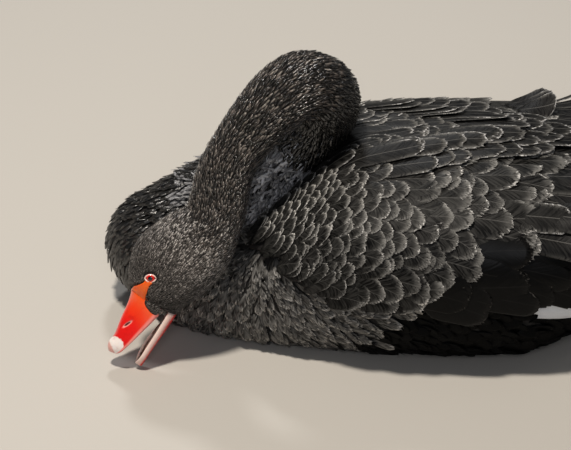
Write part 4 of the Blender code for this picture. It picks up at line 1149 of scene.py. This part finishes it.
# Rows of larger feathers: each row is count, heading first and last in degrees, then in
# millimetres x first and last, down first and last, length first and last, half width, low,
# high, curl, ruffle and tilt. The ruffled ones grow on the right wing alone.
largeRows = {
    "ridge": (
        (7, (-12, -2), -110, -60, 60, 4, 70, 90, 12.5, -6, 4, 0, 1, 1),
        (7, (-10, 0), -85, -20, 50, -4, 75, 95, 14, -4.5, 5, 0, 1, 1),
        (8, (-9, 0), -70, 30, 62, 16, 85, 110, 13, -1, 10, 0, 1, -3),
        (7, (-6, 1), -40, 60, 74, 28, 80, 105, 15.5, -2.5, 5.5, 1, 1, 1),
        (6, (-1, 1), 20, 85, 20, 6, 105, 120, 15, -2, 6, 1, 1.5, 1),
    ),
    "tertial": (
        (5, (1, -1), 80, 100, 130, 36, 110, 130, 17.5, -4.5, 5, 5, 3.5, 1.5),
        (6, (1, -2), 100, 122, 140, 28, 140, 165, 19, -5, 5.5, 12, 5, 2),
        (5, (3, -2), 115, 150, 150, 30, 80, 105, 17, -2, 8.5, 16, 6, 2),
        (4, (2, -2), 130, 160, 125, 50, 80, 95, 16.5, 0, 10, 26, 6, 5),
    ),
    "lower": (
        (5, (3, 1), 70, 85, 218, 150, 78, 115, 17.5, -4.5, 4.5, 2, 3, 1),
        (4, (2, 1), 96, 115, 200, 150, 90, 125, 18, -6, 4, 4, 4, 1),
    ),
    "ruffled": (
        (3, (2, -3), 122, 134, 78, 58, 42, 38, 12.5, 2, 10.5, 14, 1, 13),
        (3, (3, -2), 146, 158, 86, 64, 60, 64, 15, 0.5, 3, 2, 1, 4),
    ),
    "white": (
        (8, (2, -2), 138, 145, 246, 165, 110, 142, 16.5, -6.5, -3, 0, 0, 1),
        (9, (-3, -6), 150, 150, 175, 80, 160, 212, 14.5, -11.5, -6, 0, 0, 1),
    ),
}
# how much they vary: x, heading and bend in degrees, length
largeVary = {"x": 0.004, "heading": 1.6, "bend": 2.5, "length": 0.05, "high": 0.0006}


def tierRows(tiers, draw):
    made = []
    for count, headings, *sizes in tiers:
        x0, x1, down0, down1, length0, length1, *sizes = np.array(sizes) / 1000
        halfWidth, low, high, curl, ruffle, tilt = sizes
        share = np.linspace(0, 1, count)
        vary = draw.normal(0, 1, (4, count))
        made.append(np.broadcast_arrays(
            blendOf(x0, x1, share) + largeVary["x"] * vary[0], blendOf(down0, down1, share),
            np.radians(blendOf(*headings, share) + largeVary["heading"] * vary[1]),
            np.radians(largeVary["bend"] * vary[2]),
            blendOf(length0, length1, share) * (1 + largeVary["length"] * vary[3]), halfWidth, low,
            high + largeVary["high"] * draw.random(count), curl * (0.4 + 0.9 * draw.random(count)),
            tilt * (0.7 + 0.5 * draw.random(count)), ruffle * draw.random(count),
        ))
    return dict(zip(featherColumns, np.concatenate(made, 1)))


# The black pad of the arm that the coverts grow from: the wing's face a little lower,
# closed by the same face at the body.
padShape = {"rearX": 0.150, "depth": 0.0035, "edgeDepth": 0.006, "inner": 0.0130, "rows": 60, "cols": 40}


# Places over the arm between its borders, "share" of the way from the upper to the lower.
def armPlaces(x, share):
    down = blendOf(armEdge("upper", x), armEdge("lower", x), share)
    return x + 0 * down, down


def armPad(name, mirror):
    x = np.linspace(wingShape["frontX"] + 0.004, padShape["rearX"], padShape["rows"])[:, None]
    share = np.linspace(0, 1, padShape["cols"])[None, :]
    edge = np.minimum(np.minimum(share, 1 - share), 0.15) / 0.15
    ends = clamp((x - x[0]) / 0.03) * clamp((x[-1] - x) / 0.02)
    places = armPlaces(x, share)
    outer = wingPoint(*places, -padShape["depth"] - padShape["edgeDepth"] * (1 - edge * ends))
    inner = wingPoint(*places, -padShape["inner"])
    points, quads, tris = closedLoft(np.concatenate([outer, inner[:, ::-1]], 1))
    shape = facingOut(points * mirror, quads, tris)
    dress(meshObject(name, shape, skinFinish, {"OFBake": bodyPlaces(shape[0])}), "black_feathers")


def buildWing(sideName, seed):
    draw = np.random.default_rng(seed)
    flip = sideName == "right"
    mirror = np.array([1.0, -1.0 if flip else 1.0, 1.0])
    armPad(f"wing_pad_{sideName}", mirror)
    small, large, fresh = covertRows(draw)
    lesserGrid, coverGrid, longGrid = (featherGrid(*size, True) for size in ((7, 17), (9, 27), (12, 19)))
    ridge, lower = tierRows(largeRows["ridge"], draw), tierRows(largeRows["lower"], draw)
    tertial = tierRows(largeRows["tertial"] + (largeRows["ruffled"] if flip else ()), draw)
    # grid, rows, look, fray, thickness, slot and the solid that it stands for
    batches = {
        "lesser_coverts": (lesserGrid, small, "wing", 0.085, 0.0004, "black_feathers"),
        "coverts": (coverGrid, large, "wing", 0.060, 0.0005, "black_feathers", f"wing_{sideName}"),
        # The large coverts low at the rear and the lower tertials take the near-black look, as painted shade.
        "painted_shade_coverts": (coverGrid, fresh, "fresh", 0.040, 0.0005, "black_feathers"),
        "scapulars": (longGrid, ridge, "long", 0.045, 0.0005, "black_feathers"),
        "lower_tertials": (longGrid, lower, "fresh", 0.030, 0.0005, "black_feathers"),
        "tertials": (longGrid, tertial, "long", 0.025, 0.0005, "black_feathers"),
        "white_quills": (quillGrid, tierRows(largeRows["white"], draw), "white", 0.015, 0.0006,
                         "white_flight_feathers", f"flight_feathers_{sideName}"),
    }
    for kind, (grid, rows, look, fray, thickness, slot, *solids) in batches.items():
        places = layOnWing(grid, rows, draw, fray, thickness) * mirror
        roots = wingPoint(rows["x"], rows["down"], 0.0) * mirror
        tones = draw.random(len(roots)) * (1 - 0.45 * smoothStep((rows["x"] + 0.02) / 0.12))
        featherPiece(f"{kind}_{sideName}", grid, places, look, tones, bodyPlaces(roots), slot, solids, flip)


quillGrid = featherGrid(14, 11, True)
buildWing("left", 11)
buildWing("right", 12)


# The tail: black feathers fanned over a flat arch, with smaller coverts over their roots

tailShape = {
    "x": 0.262, "z": 0.098, "spread": math.radians(30), "arch": 0.25 / 0.06, "drop": 0.10,
    "halfWidth": 0.0125, "thick": 0.0006, "stack": 0.0034, "vaneArch": 0.0012, "tilt": 0.0014,
    # count, widest share, root x, reach to the sides, length, less at the sides, low and high
    "rows": (
        (16, 1.0, 0.268, 0.031, 0.104, 0.020, 0.0, 0.0042),
        (11, 0.9, 0.262, 0.030, 0.052, 0.0, 0.003, 0.0085),
        (11, 0.9, 0.262, 0.030, 0.060, 0.0, -0.006, -0.0070),
    ),
}


# Height falls with the square of the distance across and gently towards the rear.
def tailPoint(x, across, height):
    drop = tailShape["drop"] * np.maximum(x - tailShape["x"], 0.0)
    return np.stack([x, -across, tailShape["z"] + height - tailShape["arch"] * across**2 - drop], -1)


def buildTail():
    draw = np.random.default_rng(21)
    grids, roots = [], []
    for count, widest, x0, reach, longest, less, low, high in tailShape["rows"]:
        shares = np.linspace(-widest, widest, count)
        length = longest - less * shares**2
        along, across = vaneShape(quillGrid, length, 0 * length + tailShape["halfWidth"], 0.02, draw)
        roots.append(tailPoint(0 * shares + x0, reach * shares, 0 * shares))
        shares = shares[:, None]
        heading = tailShape["spread"] * shares
        x = x0 + np.cos(heading) * along - np.sin(heading) * across
        side = reach * shares + np.sin(heading) * along + np.cos(heading) * across
        t = quillGrid["across"]
        rise = low + (high - low) * along / length[:, None] + tailShape["stack"] * (1 - np.abs(shares))
        rise = rise + tailShape["vaneArch"] * (1 - t**2) - tailShape["tilt"] * t * np.sign(shares)
        grids.append(tailPoint(x, side, rise - tailShape["thick"] * quillGrid["under"]))
    places, roots = np.concatenate(grids), np.concatenate(roots)
    tones = 0.6 * draw.random(len(roots))
    mapPlaces = bodyPlaces(roots)
    featherPiece("tail_feathers", quillGrid, places, "long", tones, mapPlaces, solids=("tail",), flip=True)


buildTail()


# The body's coat

coat = {
    "bodySpacing": (0.0078, 0.0098), "bellySpacing": 0.014, "headSpacing": (0.0016, 0.0012),
    "downSpacing": 0.0036,
    # spacing along the neck, from the bulge to the nape
    "neckPlaces": (0.0, 0.14, 0.28, 0.42, 0.58, 0.75, 1.0),
    "neckSpacings": (0.0056, 0.0052, 0.0044, 0.0042, 0.0033, 0.0026, 0.0018),
    "eyeMiddle": (-0.0187, 0.0368), "eyeSlant": (0.70, 0.71), "eyeLong": 0.0080, "eyeWide": 0.0058,
    # each foot's pocket in the belly: its middle, and half its length and width and its height
    "footMiddle": (0.03, 0.0605), "footRoom": (0.13, 0.05, 0.012), "armReach": 0.022,
    # shares of the neck where the bulge, the down and the loop end
    "bulgeTo": 0.24, "downFrom": 0.13, "downTo": 0.40, "loopTo": 0.60, "downSideways": 0.35,
    "headCut": 0.8, "headVary": 0.014, "sidewaysVary": 0.2, "breastEdge": -0.03, "breastVary": 0.012,
    "wildDown": 0.55, "wildUpper": 0.12, "wildRest": 0.18,
    "lengthVary": 0.12, "widthVary": 0.08, "leanVary": 0.22,
    # rows and columns, look, length and half width over the spacing, root and tip height, fray, arch
    "batches": {
        "head_coat": (3, 3, "head", 2.9, 0.42, 0.0001, 0.0008, 0.05, 0.20),
        "upper_neck_coat": (3, 3, "neck", 3.1, 0.38, 0.0001, 0.0019, 0.06, 0.18),
        "loop_coat": (4, 5, "loop", 3.3, 0.44, 0.0001, 0.0040, 0.14, 0.18),
        "neck_down": (4, 5, "down", 4.0, 0.46, 0.0002, 0.0058, 0.25, 0.15),
        "breast_bulge_coat": (4, 5, "bulge", 3.1, 0.52, 0.0002, 0.0036, 0.07, 0.16),
        "breast_coat": (5, 11, "breast", 3.0, 0.70, 0.0002, 0.0040, 0.26, 0.14),
        # The torso's coat outside the breast takes the darker look, as painted shade.
        "flank_coat": (5, 7, "shadedFlank", 2.5, 0.80, 0.0002, 0.0040, 0.10, 0.10),
    },
}


def coatSpacing(points, spot):
    tube = np.interp(spot["share"], coat["neckPlaces"], coat["neckSpacings"])
    onHead = blendOf(*coat["headSpacing"], smoothStep((spot["local"][:, 0] - napeX) / 0.066))
    tube = blendOf(tube, onHead, spot["head"])
    downPart = smoothStep((spot["share"] - 0.12) / 0.03) * smoothStep((0.41 - spot["share"]) / 0.03)
    tube = blendOf(tube, np.minimum(tube, coat["downSpacing"]), downPart)
    body = blendOf(*coat["bodySpacing"], smoothStep((points[:, 0] + 0.10) / 0.2))
    body = blendOf(body, coat["bellySpacing"], smoothStep((0.02 - points[:, 2]) / 0.01))
    return blendOf(body, tube, spot["tube"])


def insidePolygon(x, z, corners):
    inside = np.zeros(x.shape, bool)
    for (x0, z0), (x1, z1) in zip(corners, corners[1:] + corners[:1]):
        crosses = (z0 > z) != (z1 > z)
        where = x0 + (z - z0) * (x1 - x0) / (z1 - z0 if z1 != z0 else 1e-9)
        inside ^= crosses & (x < where)
    return inside


# Bare places: the face in front of the feather line, and the eyes.
def bareFace(spot):
    x, y, z = spot["local"].T
    outline = faceLine["upper"] + ((0.03, 0.045), (0.03, 0.0236)) + faceLine["lower"][::-1]
    onFace = insidePolygon(x, z, outline) & (x > faceLine["lower"][0][0])
    dx, dz = x - coat["eyeMiddle"][0], z - coat["eyeMiddle"][1]
    flat, steep = coat["eyeSlant"]
    long, wide = (flat * dx + steep * dz) / coat["eyeLong"], (flat * dz - steep * dx) / coat["eyeWide"]
    onEye = (long**2 + wide**2 < 1) & (np.abs(y) > 0.015)
    return (onFace | onEye) & (spot["head"] > 0.5)


# Under the wings no coat is grown: there a short ray from the skin meets the arm's face.
armX, armShare = np.linspace(-0.150, 0.330, 70)[:, None], np.linspace(0.02, 0.97, 30)
armFace = wingPoint(*armPlaces(armX, armShare), 0.0).reshape(-1, 3)
armQuads = gridQuads(len(armX), len(armShare))
wingTrees = [treeOf(armFace * np.array([1, sign, 1]), armQuads) for _, sign in sides]


def underWing(points, normals):
    return np.array([
        any(tree.ray_cast(p, n, coat["armReach"])[0] is not None for tree in wingTrees)
        for p, n in zip((points + normals * 0.001).tolist(), normals.tolist())
    ])


def buildCoat():
    draw = np.random.default_rng(5)
    roots, normals, spacing = scatterRoots(coatSpacing(skinPoints, skinSpot), draw)
    spot = belonging(roots)
    onTube = spot["tube"] > 0.5
    keep = ~bareFace(spot) & (onTube | ~underWing(roots, normals))
    # none on the head's cut front, and none in the feet's pockets
    keep &= ~((spot["head"] > 0.5) & (normals @ headForward > coat["headCut"]))
    (footX, footY), (long, wide, high) = coat["footMiddle"], coat["footRoom"]
    feet = (np.abs(np.abs(roots[:, 1]) - footY) < wide) & (np.abs(roots[:, 0] - footX) < long)
    keep &= ~(feet & (roots[:, 2] < high))
    roots, normals, spacing, onTube = (values[keep] for values in (roots, normals, spacing, onTube))
    spot = {key: value[keep] for key, value in spot.items()}
    share, count = spot["share"], len(roots)
    # The head's short coat gives way to the neck's over some 4 cm.
    onHead = onTube & (spot["run"] + coat["headVary"] * draw.normal(0, 1, count) > neckRun[-1] + 0.004)
    onNeck = onTube & ~onHead & (share > coat["bulgeTo"])
    onUpper = onNeck & (share > coat["loopTo"])
    # Soft down on both sides of the neck's lower part, where it lies against the wings.
    sideways = np.abs(normals[:, 1]) + coat["sidewaysVary"] * draw.normal(0, 1, count)
    onDown = onTube & ~onHead & (share > coat["downFrom"]) & (share < coat["downTo"])
    onDown &= sideways > coat["downSideways"]
    breastEdge = roots[:, 0] + coat["breastVary"] * draw.normal(0, 1, count) - 1.2 * (roots[:, 2] - 0.05)
    onBreast = ~onTube & (breastEdge < coat["breastEdge"])
    wild = np.where(onHead | onUpper, coat["wildUpper"], coat["wildRest"])
    wild = np.where(onDown, coat["wildDown"], wild)
    flow = unit(coatFlow(roots, spot) + draw.normal(0, 1, roots.shape) * wild[:, None])
    mapPlaces = skinPlaces(roots, spot)
    # Painted shade: the head's coat is painted darker from the nape to the face, standing in for the sheen
    # that lightens the back of the head.
    faceward = np.where(spot["head"] > 0.5, smoothStep((spot["local"][:, 0] + 0.070) / 0.055), 0.0)
    # Painted light: the down is painted pale where it lies in the neck's shade beside the left wing, and
    # darker where the lamps reach it.
    paintedLightShare = (1 - smoothStep((-0.165 - roots[:, 0]) / 0.03)) * (1 - smoothStep((roots[:, 1] - 0.01) / 0.02))
    paintedLightAndShade = (1 - 0.36 * faceward, np.where(onDown, 0.4 + 0.6 * paintedLightShare, 1.0))
    onLoop, onBulge = onNeck & ~onUpper & ~onDown, onTube & ~onHead & ~onNeck & ~onDown
    areas = (onHead, onUpper, onLoop, onDown, onBulge, onBreast, ~onTube & ~onBreast)
    for (name, batch), area in zip(coat["batches"].items(), areas):
        rows, cols, look, longer, wider, low, high, fray, arch = batch
        size = spacing[area]
        count = len(size)
        grid = featherGrid(rows, cols, False)
        length = longer * size * (1 + draw.normal(0, coat["lengthVary"], count))
        halfWidth = wider * size * (1 + draw.normal(0, coat["widthVary"], count))
        tips = high * (0.55 + 0.9 * draw.random(count))
        lean = draw.normal(0, coat["leanVary"], count)
        skinAt = (roots[area], normals[area], flow[area])
        places, laid = layOnSkin(grid, *skinAt, length, halfWidth, low, tips, lean, draw, fray, arch)
        # The tones carry the head's painted shade and the down's painted light.
        tones = draw.random(count) ** (1 + 0.5 * faceward[area]) * paintedLightAndShade[0][area] * paintedLightAndShade[1][area]
        featherPiece(name, grid, places[laid], look, tones[laid], mapPlaces[area][laid])


buildCoat()


# The bill and the bare face

# The palate is a shallower arch back. The nail is a low dome, each nostril a slot pressed in.
def buildUpperBill(finish):
    x, y, z, (topX, topZ, edgeX, edgeZ, width) = upperBillArch()
    nostrilX, nostrilZ = billShape["nostril"]
    slotX = (x - nostrilX) / billShape["nostrilLong"]
    slotZ = (z - nostrilZ - 0.12 * (x - nostrilX)) / billShape["nostrilHigh"]
    hole = np.exp(-((slotX**2 + slotZ**2) ** 1.6))
    nailX, nailY = (x - billShape["nailX"]) / billShape["nailWide"], y / billShape["nailWide"]
    nail = np.exp(-(nailX**4 + nailY**4))
    lip = np.exp(-((z - edgeZ) / billShape["lipHigh"]) ** 2)
    y = y - np.sign(y) * (billShape["nostrilDeep"] * hole - billShape["lipOut"] * lip)
    z = z + billShape["nailHigh"] * nail
    back = np.linspace(np.pi, 0, billShape["palateSides"] + 2)[None, 1:-1]
    palate = np.sin(back)
    inX = edgeX + (topX - edgeX) * 0.10 * palate
    inY, inZ = -width * 0.90 * np.cos(back), edgeZ + 0.0012 + 0.0035 * palate * (width / 0.016)
    x, y, z = np.concatenate([x, inX], 1), np.concatenate([y, inY], 1), np.concatenate([z, inZ], 1)
    # Above the cheek the horn runs in under the face's skin.
    x[0] = faceX(z[0]) - 0.0008 - 0.0024 * smoothStep((z[0] - 0.019) / 0.006)
    height = clamp((z - edgeZ) / (topZ - edgeZ))
    height[:, billShape["sides"]:] = 0.0
    place = np.stack([clamp(x / 0.08), height], -1).reshape(-1, 2)
    place = np.concatenate([place, [[0.0, 0.5]], [[0.9, 0.5]]])
    holes = np.append(np.concatenate([hole, 0 * inX], 1), [0, 0])
    shape = closedLoft(headPoint(x, y, z))
    made = meshObject("bill_upper_horn", shape, finish, {"bill": place}, {"nostril": holes})
    dress(made, "red_bill", "bill_upper")


lowerBill = {
    "start": (-0.0036, -0.0018), "drop": math.radians(14.5), "length": 0.065, "wall": 0.0024,
    "halfWidth": 0.0150, "narrowing": 0.0045, "tipFrom": 0.80, "tipNarrowing": 0.0075 / 0.04,
    "depth": 0.0088, "shallowing": 0.0022, "floorShare": 0.8, "stations": 60, "sides": 33,
    # the opening turns towards the left over its front half, so the right rim is higher
    "roll": 0.0022, "rollFrom": 0.15, "rollRun": 0.55, "rollAxis": 0.0125, "rollSpan": 0.0135,
}


def lowerBillSpot(along, height):
    lean = lowerBill["drop"]
    x = lowerBill["start"][0] + along * np.cos(lean) + height * np.sin(lean)
    return x, lowerBill["start"][1] - along * np.sin(lean) + height * np.cos(lean)


def lowerBillDepth(share):
    return lowerBill["depth"] - lowerBill["shallowing"] * share


# A trough: half-round sections, y = w cos a and down by depth sin(a)^0.7, with the same
# curve a wall's thickness further in.
def buildLowerBill(finish):
    share = np.linspace(0, 1, lowerBill["stations"])[:, None] ** 0.9
    depth, wall = lowerBillDepth(share), lowerBill["wall"]
    tip = np.maximum(share - lowerBill["tipFrom"], 0.0)
    width = lowerBill["halfWidth"] - lowerBill["narrowing"] * share - lowerBill["tipNarrowing"] * tip**2
    angle = np.linspace(0, np.pi, lowerBill["sides"])[None, :]
    across = np.concatenate([width * np.cos(angle), (width - wall) * np.cos(angle[:, ::-1])], 1)
    sink = np.concatenate([np.sin(angle), np.sin(angle[:, ::-1])], 1) ** 0.7
    inner = np.arange(sink.size) >= lowerBill["sides"]
    roll = lowerBill["roll"] * smoothStep((share - lowerBill["rollFrom"]) / lowerBill["rollRun"])
    height = -np.where(inner, (depth - wall) * lowerBill["floorShare"], depth) * sink
    height = height + roll * (lowerBill["rollAxis"] - across) / lowerBill["rollSpan"] * (1 - 0.55 * sink)
    along = lowerBill["length"] * share + 0 * height
    rootX, rootZ = lowerBillSpot(0.0, height[0])
    onFace = math.cos(lowerBill["drop"]) + faceSlope * math.sin(lowerBill["drop"])
    along[0] = (faceX(rootZ) - rootX) / onFace - 0.0008
    x, z = lowerBillSpot(along, height)
    # The inner walls are pale near the tip's rim, and brown further back and lower down.
    innerPaleness = 0.20 + 0.14 * smoothStep((share - 0.35) / 0.25)
    outside = np.where(inner, innerPaleness * (1 - 0.98 * sink), 0.40 + 0.60 * sink)
    place = np.stack([share + 0 * height, outside], -1).reshape(-1, 2)
    place = np.concatenate([place, [[0.0, 0.1]], [[1.0, 0.4]]])
    made = meshObject("bill_lower_horn", closedLoft(headPoint(x, across, z)), finish, {"bill": place})
    dress(made, "pink_lower_bill", "bill_lower")


tongueShape = {
    "reach": (0.03, 0.76), "stations": 30, "sides": 24, "halfWidth": 0.0080, "widest": 0.22, "taper": 0.55,
    "lift": 0.0033, "thick": 0.0018, "grooveDeep": 0.0006, "grooveWide": 0.0016,
}


# Oval sections in the trough, with a groove along the top.
def buildTongue(finish):
    share = np.linspace(*tongueShape["reach"], tongueShape["stations"])[:, None]
    angle = turns(tongueShape["sides"])[None, :]
    blunt = np.sqrt(clamp(1 - ((share - tongueShape["widest"]) / tongueShape["taper"]) ** 4))
    across = tongueShape["halfWidth"] * blunt * np.cos(angle)
    groove = np.exp(-((across / tongueShape["grooveWide"]) ** 2)) * (np.sin(angle) > 0)
    floor = -(lowerBillDepth(share) - lowerBill["wall"]) * lowerBill["floorShare"]
    height = floor + tongueShape["lift"] + tongueShape["thick"] * np.sin(angle)
    height = height - tongueShape["grooveDeep"] * groove
    x, z = lowerBillSpot(lowerBill["length"] * share + 0 * height, height)
    dress(meshObject("tongue_flesh", closedLoft(headPoint(x, across, z)), finish), "tongue", "tongue")


# The bare skin from the bill to the eye. Each border place is met on the head's section
# table, and the skin between two borders goes straight over that table.
loresShape = {"rows": 36, "onBorder": 24, "cols": 20, "under": -0.0007, "over": 0.0006}


def buildLores(finish):
    at = np.linspace(3.5, lastSection, 160)
    angle = np.linspace(0.0, np.pi * 0.98, 220)
    x, _, z = headLocal(at[:, None], angle, -0.0004)

    def onTable(border, count):
        border = np.array(border)
        run = runAlong(border)
        even = splineColumns(border, run, np.linspace(0, run[-1], count))
        index = [((x - spotX) ** 2 + (z - spotZ) ** 2).argmin() for spotX, spotZ in even]
        return np.stack([at[np.array(index) // len(angle)], angle[np.array(index) % len(angle)]], -1)

    rows, onBorder = loresShape["rows"], loresShape["onBorder"]
    lower, upper = onTable(faceLine["lower"], rows), onTable(faceLine["upper"], onBorder)
    # The front border follows the face plane from the culmen down to the gape.
    front = np.linspace(upper[-1, 1], lower[-1, 1], rows - onBorder + 1)[1:]
    upper = np.concatenate([upper, np.stack([np.full(len(front), float(lastSection)), front], -1)])
    upper[onBorder - 2:, 0] = lastSection
    share = np.linspace(0, 1, loresShape["cols"])[:, None, None]
    spotAt, spotAngle = np.moveaxis(upper * (1 - share) + lower * share, -1, 0)
    edge = np.minimum(np.minimum(share[..., 0], 1 - share[..., 0]), 0.12) / 0.12
    for sideName, sign in sides:
        sheets = []
        for depth in (loresShape["under"] * edge, loresShape["over"]):
            headX, headY, headZ = headLocal(spotAt, spotAngle, depth)
            sheets.append(headPoint(headX, headY * sign, headZ))
        dress(meshObject(f"bare_face_{sideName}", closedSheet(*sheets), finish), "red_bill")


# Eyes

eyeShape = {
    "place": (-0.0192, 0.0224, 0.0363), "radius": 0.0068, "bulge": 0.05,
    # forward and up: how its gaze leans off the side, and which way its lids' front corner points
    "outward": (0.10, 0.12), "towardBill": (0.75, 0.66),
    "lidLong": 0.0055, "lidWide": 0.0036, "lidThick": 0.0010, "lidOut": 0.0050,
}


# A ball that bulges a little at the pupil, in the eye's own directions: outward, towards
# the bill, and across.
def buildEye(sideName, sign, finish, lidFinish):
    x, y, z = eyeShape["place"]
    middle = headPoint(x, sign * y, z)
    forward, up = eyeShape["outward"]
    outward = unit(sign * headLeft + forward * headForward + up * headUp)
    along = headForward * eyeShape["towardBill"][0] + headUp * eyeShape["towardBill"][1]
    along = unit(along - outward * (along @ outward))
    across = np.cross(outward, along)
    polar = np.linspace(0.02, np.pi - 0.02, 40)[:, None]
    turn = turns(48)[None, :]
    radius = eyeShape["radius"] * (1 + eyeShape["bulge"] * np.exp(-((polar / 0.5) ** 2)))
    rings = (
        np.cos(polar)[..., None] * outward + (np.sin(polar) * np.cos(turn))[..., None] * along
        + (np.sin(polar) * np.sin(turn))[..., None] * across
    )
    place = np.stack(np.broadcast_arrays(np.sin(polar / 2) * 1.4142, turn / 6.29), -1).reshape(-1, 2)
    place = np.concatenate([place, [[0.0, 0.0]], [[1.0, 0.0]]])
    shape = closedLoft(middle + radius[..., None] * rings)
    dress(meshObject(f"eye_ball_{sideName}", shape, finish, {"eye": place}), "red_eye", f"eye_{sideName}")
    # The lids: a ring of almond outline, thicker below, drawn to a point at both corners.
    tube, turn = turns(14)[None, :], turns(72)[:, None]
    pointed = 1 + 0.10 * np.abs(np.cos(turn)) ** 6
    thick = eyeShape["lidThick"] * (1 - 0.25 * np.abs(np.cos(turn)) ** 4)
    long = eyeShape["lidLong"] * pointed * np.cos(turn) + thick * np.cos(tube) * np.cos(turn)
    wide = eyeShape["lidWide"] * np.sin(turn) + thick * np.cos(tube) * np.sin(turn)
    height = eyeShape["lidOut"] + 0.8 * thick * np.sin(tube) - 0.0003 * np.abs(np.cos(turn)) ** 3
    lid = middle + long[..., None] * along + wide[..., None] * across + height[..., None] * outward
    shape = facingOut(lid.reshape(-1, 3), gridQuads(72, 14, wrap=True, wrapRows=True))
    dress(meshObject(f"lids_{sideName}", shape, lidFinish), "pink_lower_bill")


buildUpperBill(upperBillMaterial())
buildLowerBill(lowerBillMaterial())
buildTongue(bareSkinMaterial("tongue_flesh_brown", "#6b4030", "#8d5a42", 900.0))
buildLores(bareSkinMaterial("bare_face_skin", "#ff5206", "#ff7712", 1100.0))
irisFinish, lidFinish = eyeMaterial(), bareSkinMaterial("eyelid_skin_pink", "#f2bcae", "#fbe0d6", 1800.0)
for sideName, sign in sides:
    buildEye(sideName, sign, irisFinish, lidFinish)
print("head pieces made")

# Legs and feet keep their solids under a scaly skin.
legFinish = legMaterial()
for node in ("leg_left", "leg_right", "foot_left", "foot_right"):
    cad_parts[node].material_slots[0].material = legFinish


# Floor, light and camera

studio = {
    "floor": "#bab6af", "floorHalf": 6.0, "world": "#e9eef5", "worldStrength": 0.10,
    # name, place, aim, size, power, colour
    "lamps": (
        ("key", (-0.62, -0.75, 3.2), (-0.05, 0.0, 0.1), 0.34, 106.0, "#fff6ea"),
        ("fill", (-0.1, -2.7, 1.8), (-0.1, 0.0, 0.1), 1.2, 15.0, "#f4f5fb"),
        ("rim", (-0.3, 2.0, 2.4), (0.0, 0.0, 0.15), 0.4, 30.0, "#ffffff"),
    ),
    "lens": 175.0, "camera": (-0.12, -2.598, 1.5967), "elevation": 30.0,
}


# Plain floor: matt painted board, its grain far too fine to show.
def buildFloor():
    paint = {"Roughness": 0.85, "Base Color": linear(studio["floor"])}
    material, add = newMaterial("floor_matt_paint", paint)
    grain = add("TexNoise", (add("TexCoord"), "Object"), 300.0, 3.0)
    finished(material, None, add("Bump", 0.05, 0.0005, None, grain))
    corners = studio["floorHalf"] * np.array([(-1, -1, 0), (1, -1, 0), (1, 1, 0), (-1, 1, 0)])
    meshObject("floor", (corners, np.array([[0, 1, 2, 3]]), noFaces), material, smooth=False)


def placed(name, data, place, turn):
    made = bpy.data.objects.new(name, data)
    bpy.context.scene.collection.objects.link(made)
    made.location, made.rotation_euler = place, turn
    return made


def buildStudio():
    buildFloor()
    scene = bpy.context.scene
    scene.world = bpy.data.worlds.new("studio_world")
    scene.world.use_nodes = True
    background = scene.world.node_tree.nodes["Background"]
    background.inputs["Color"].default_value = linear(studio["world"])
    background.inputs["Strength"].default_value = studio["worldStrength"]
    for name, place, target, size, power, colour in studio["lamps"]:
        data = bpy.data.lights.new(name, "AREA")
        data.shape, data.size, data.energy, data.color = "DISK", size, power, linear(colour)[:3]
        gaze = unit(np.array(target) - np.array(place))
        placed(name, data, place, (math.acos(-gaze[2]), 0.0, math.atan2(gaze[1], gaze[0]) - math.pi / 2))
    data = bpy.data.cameras.new("camera")
    data.lens, data.sensor_width, data.clip_end = studio["lens"], 36.0, 50.0
    turn = (math.radians(90 - studio["elevation"]), 0.0, 0.0)
    scene.camera = placed("camera", data, studio["camera"], turn)
    scene.view_settings.view_transform = "Standard"


buildStudio()
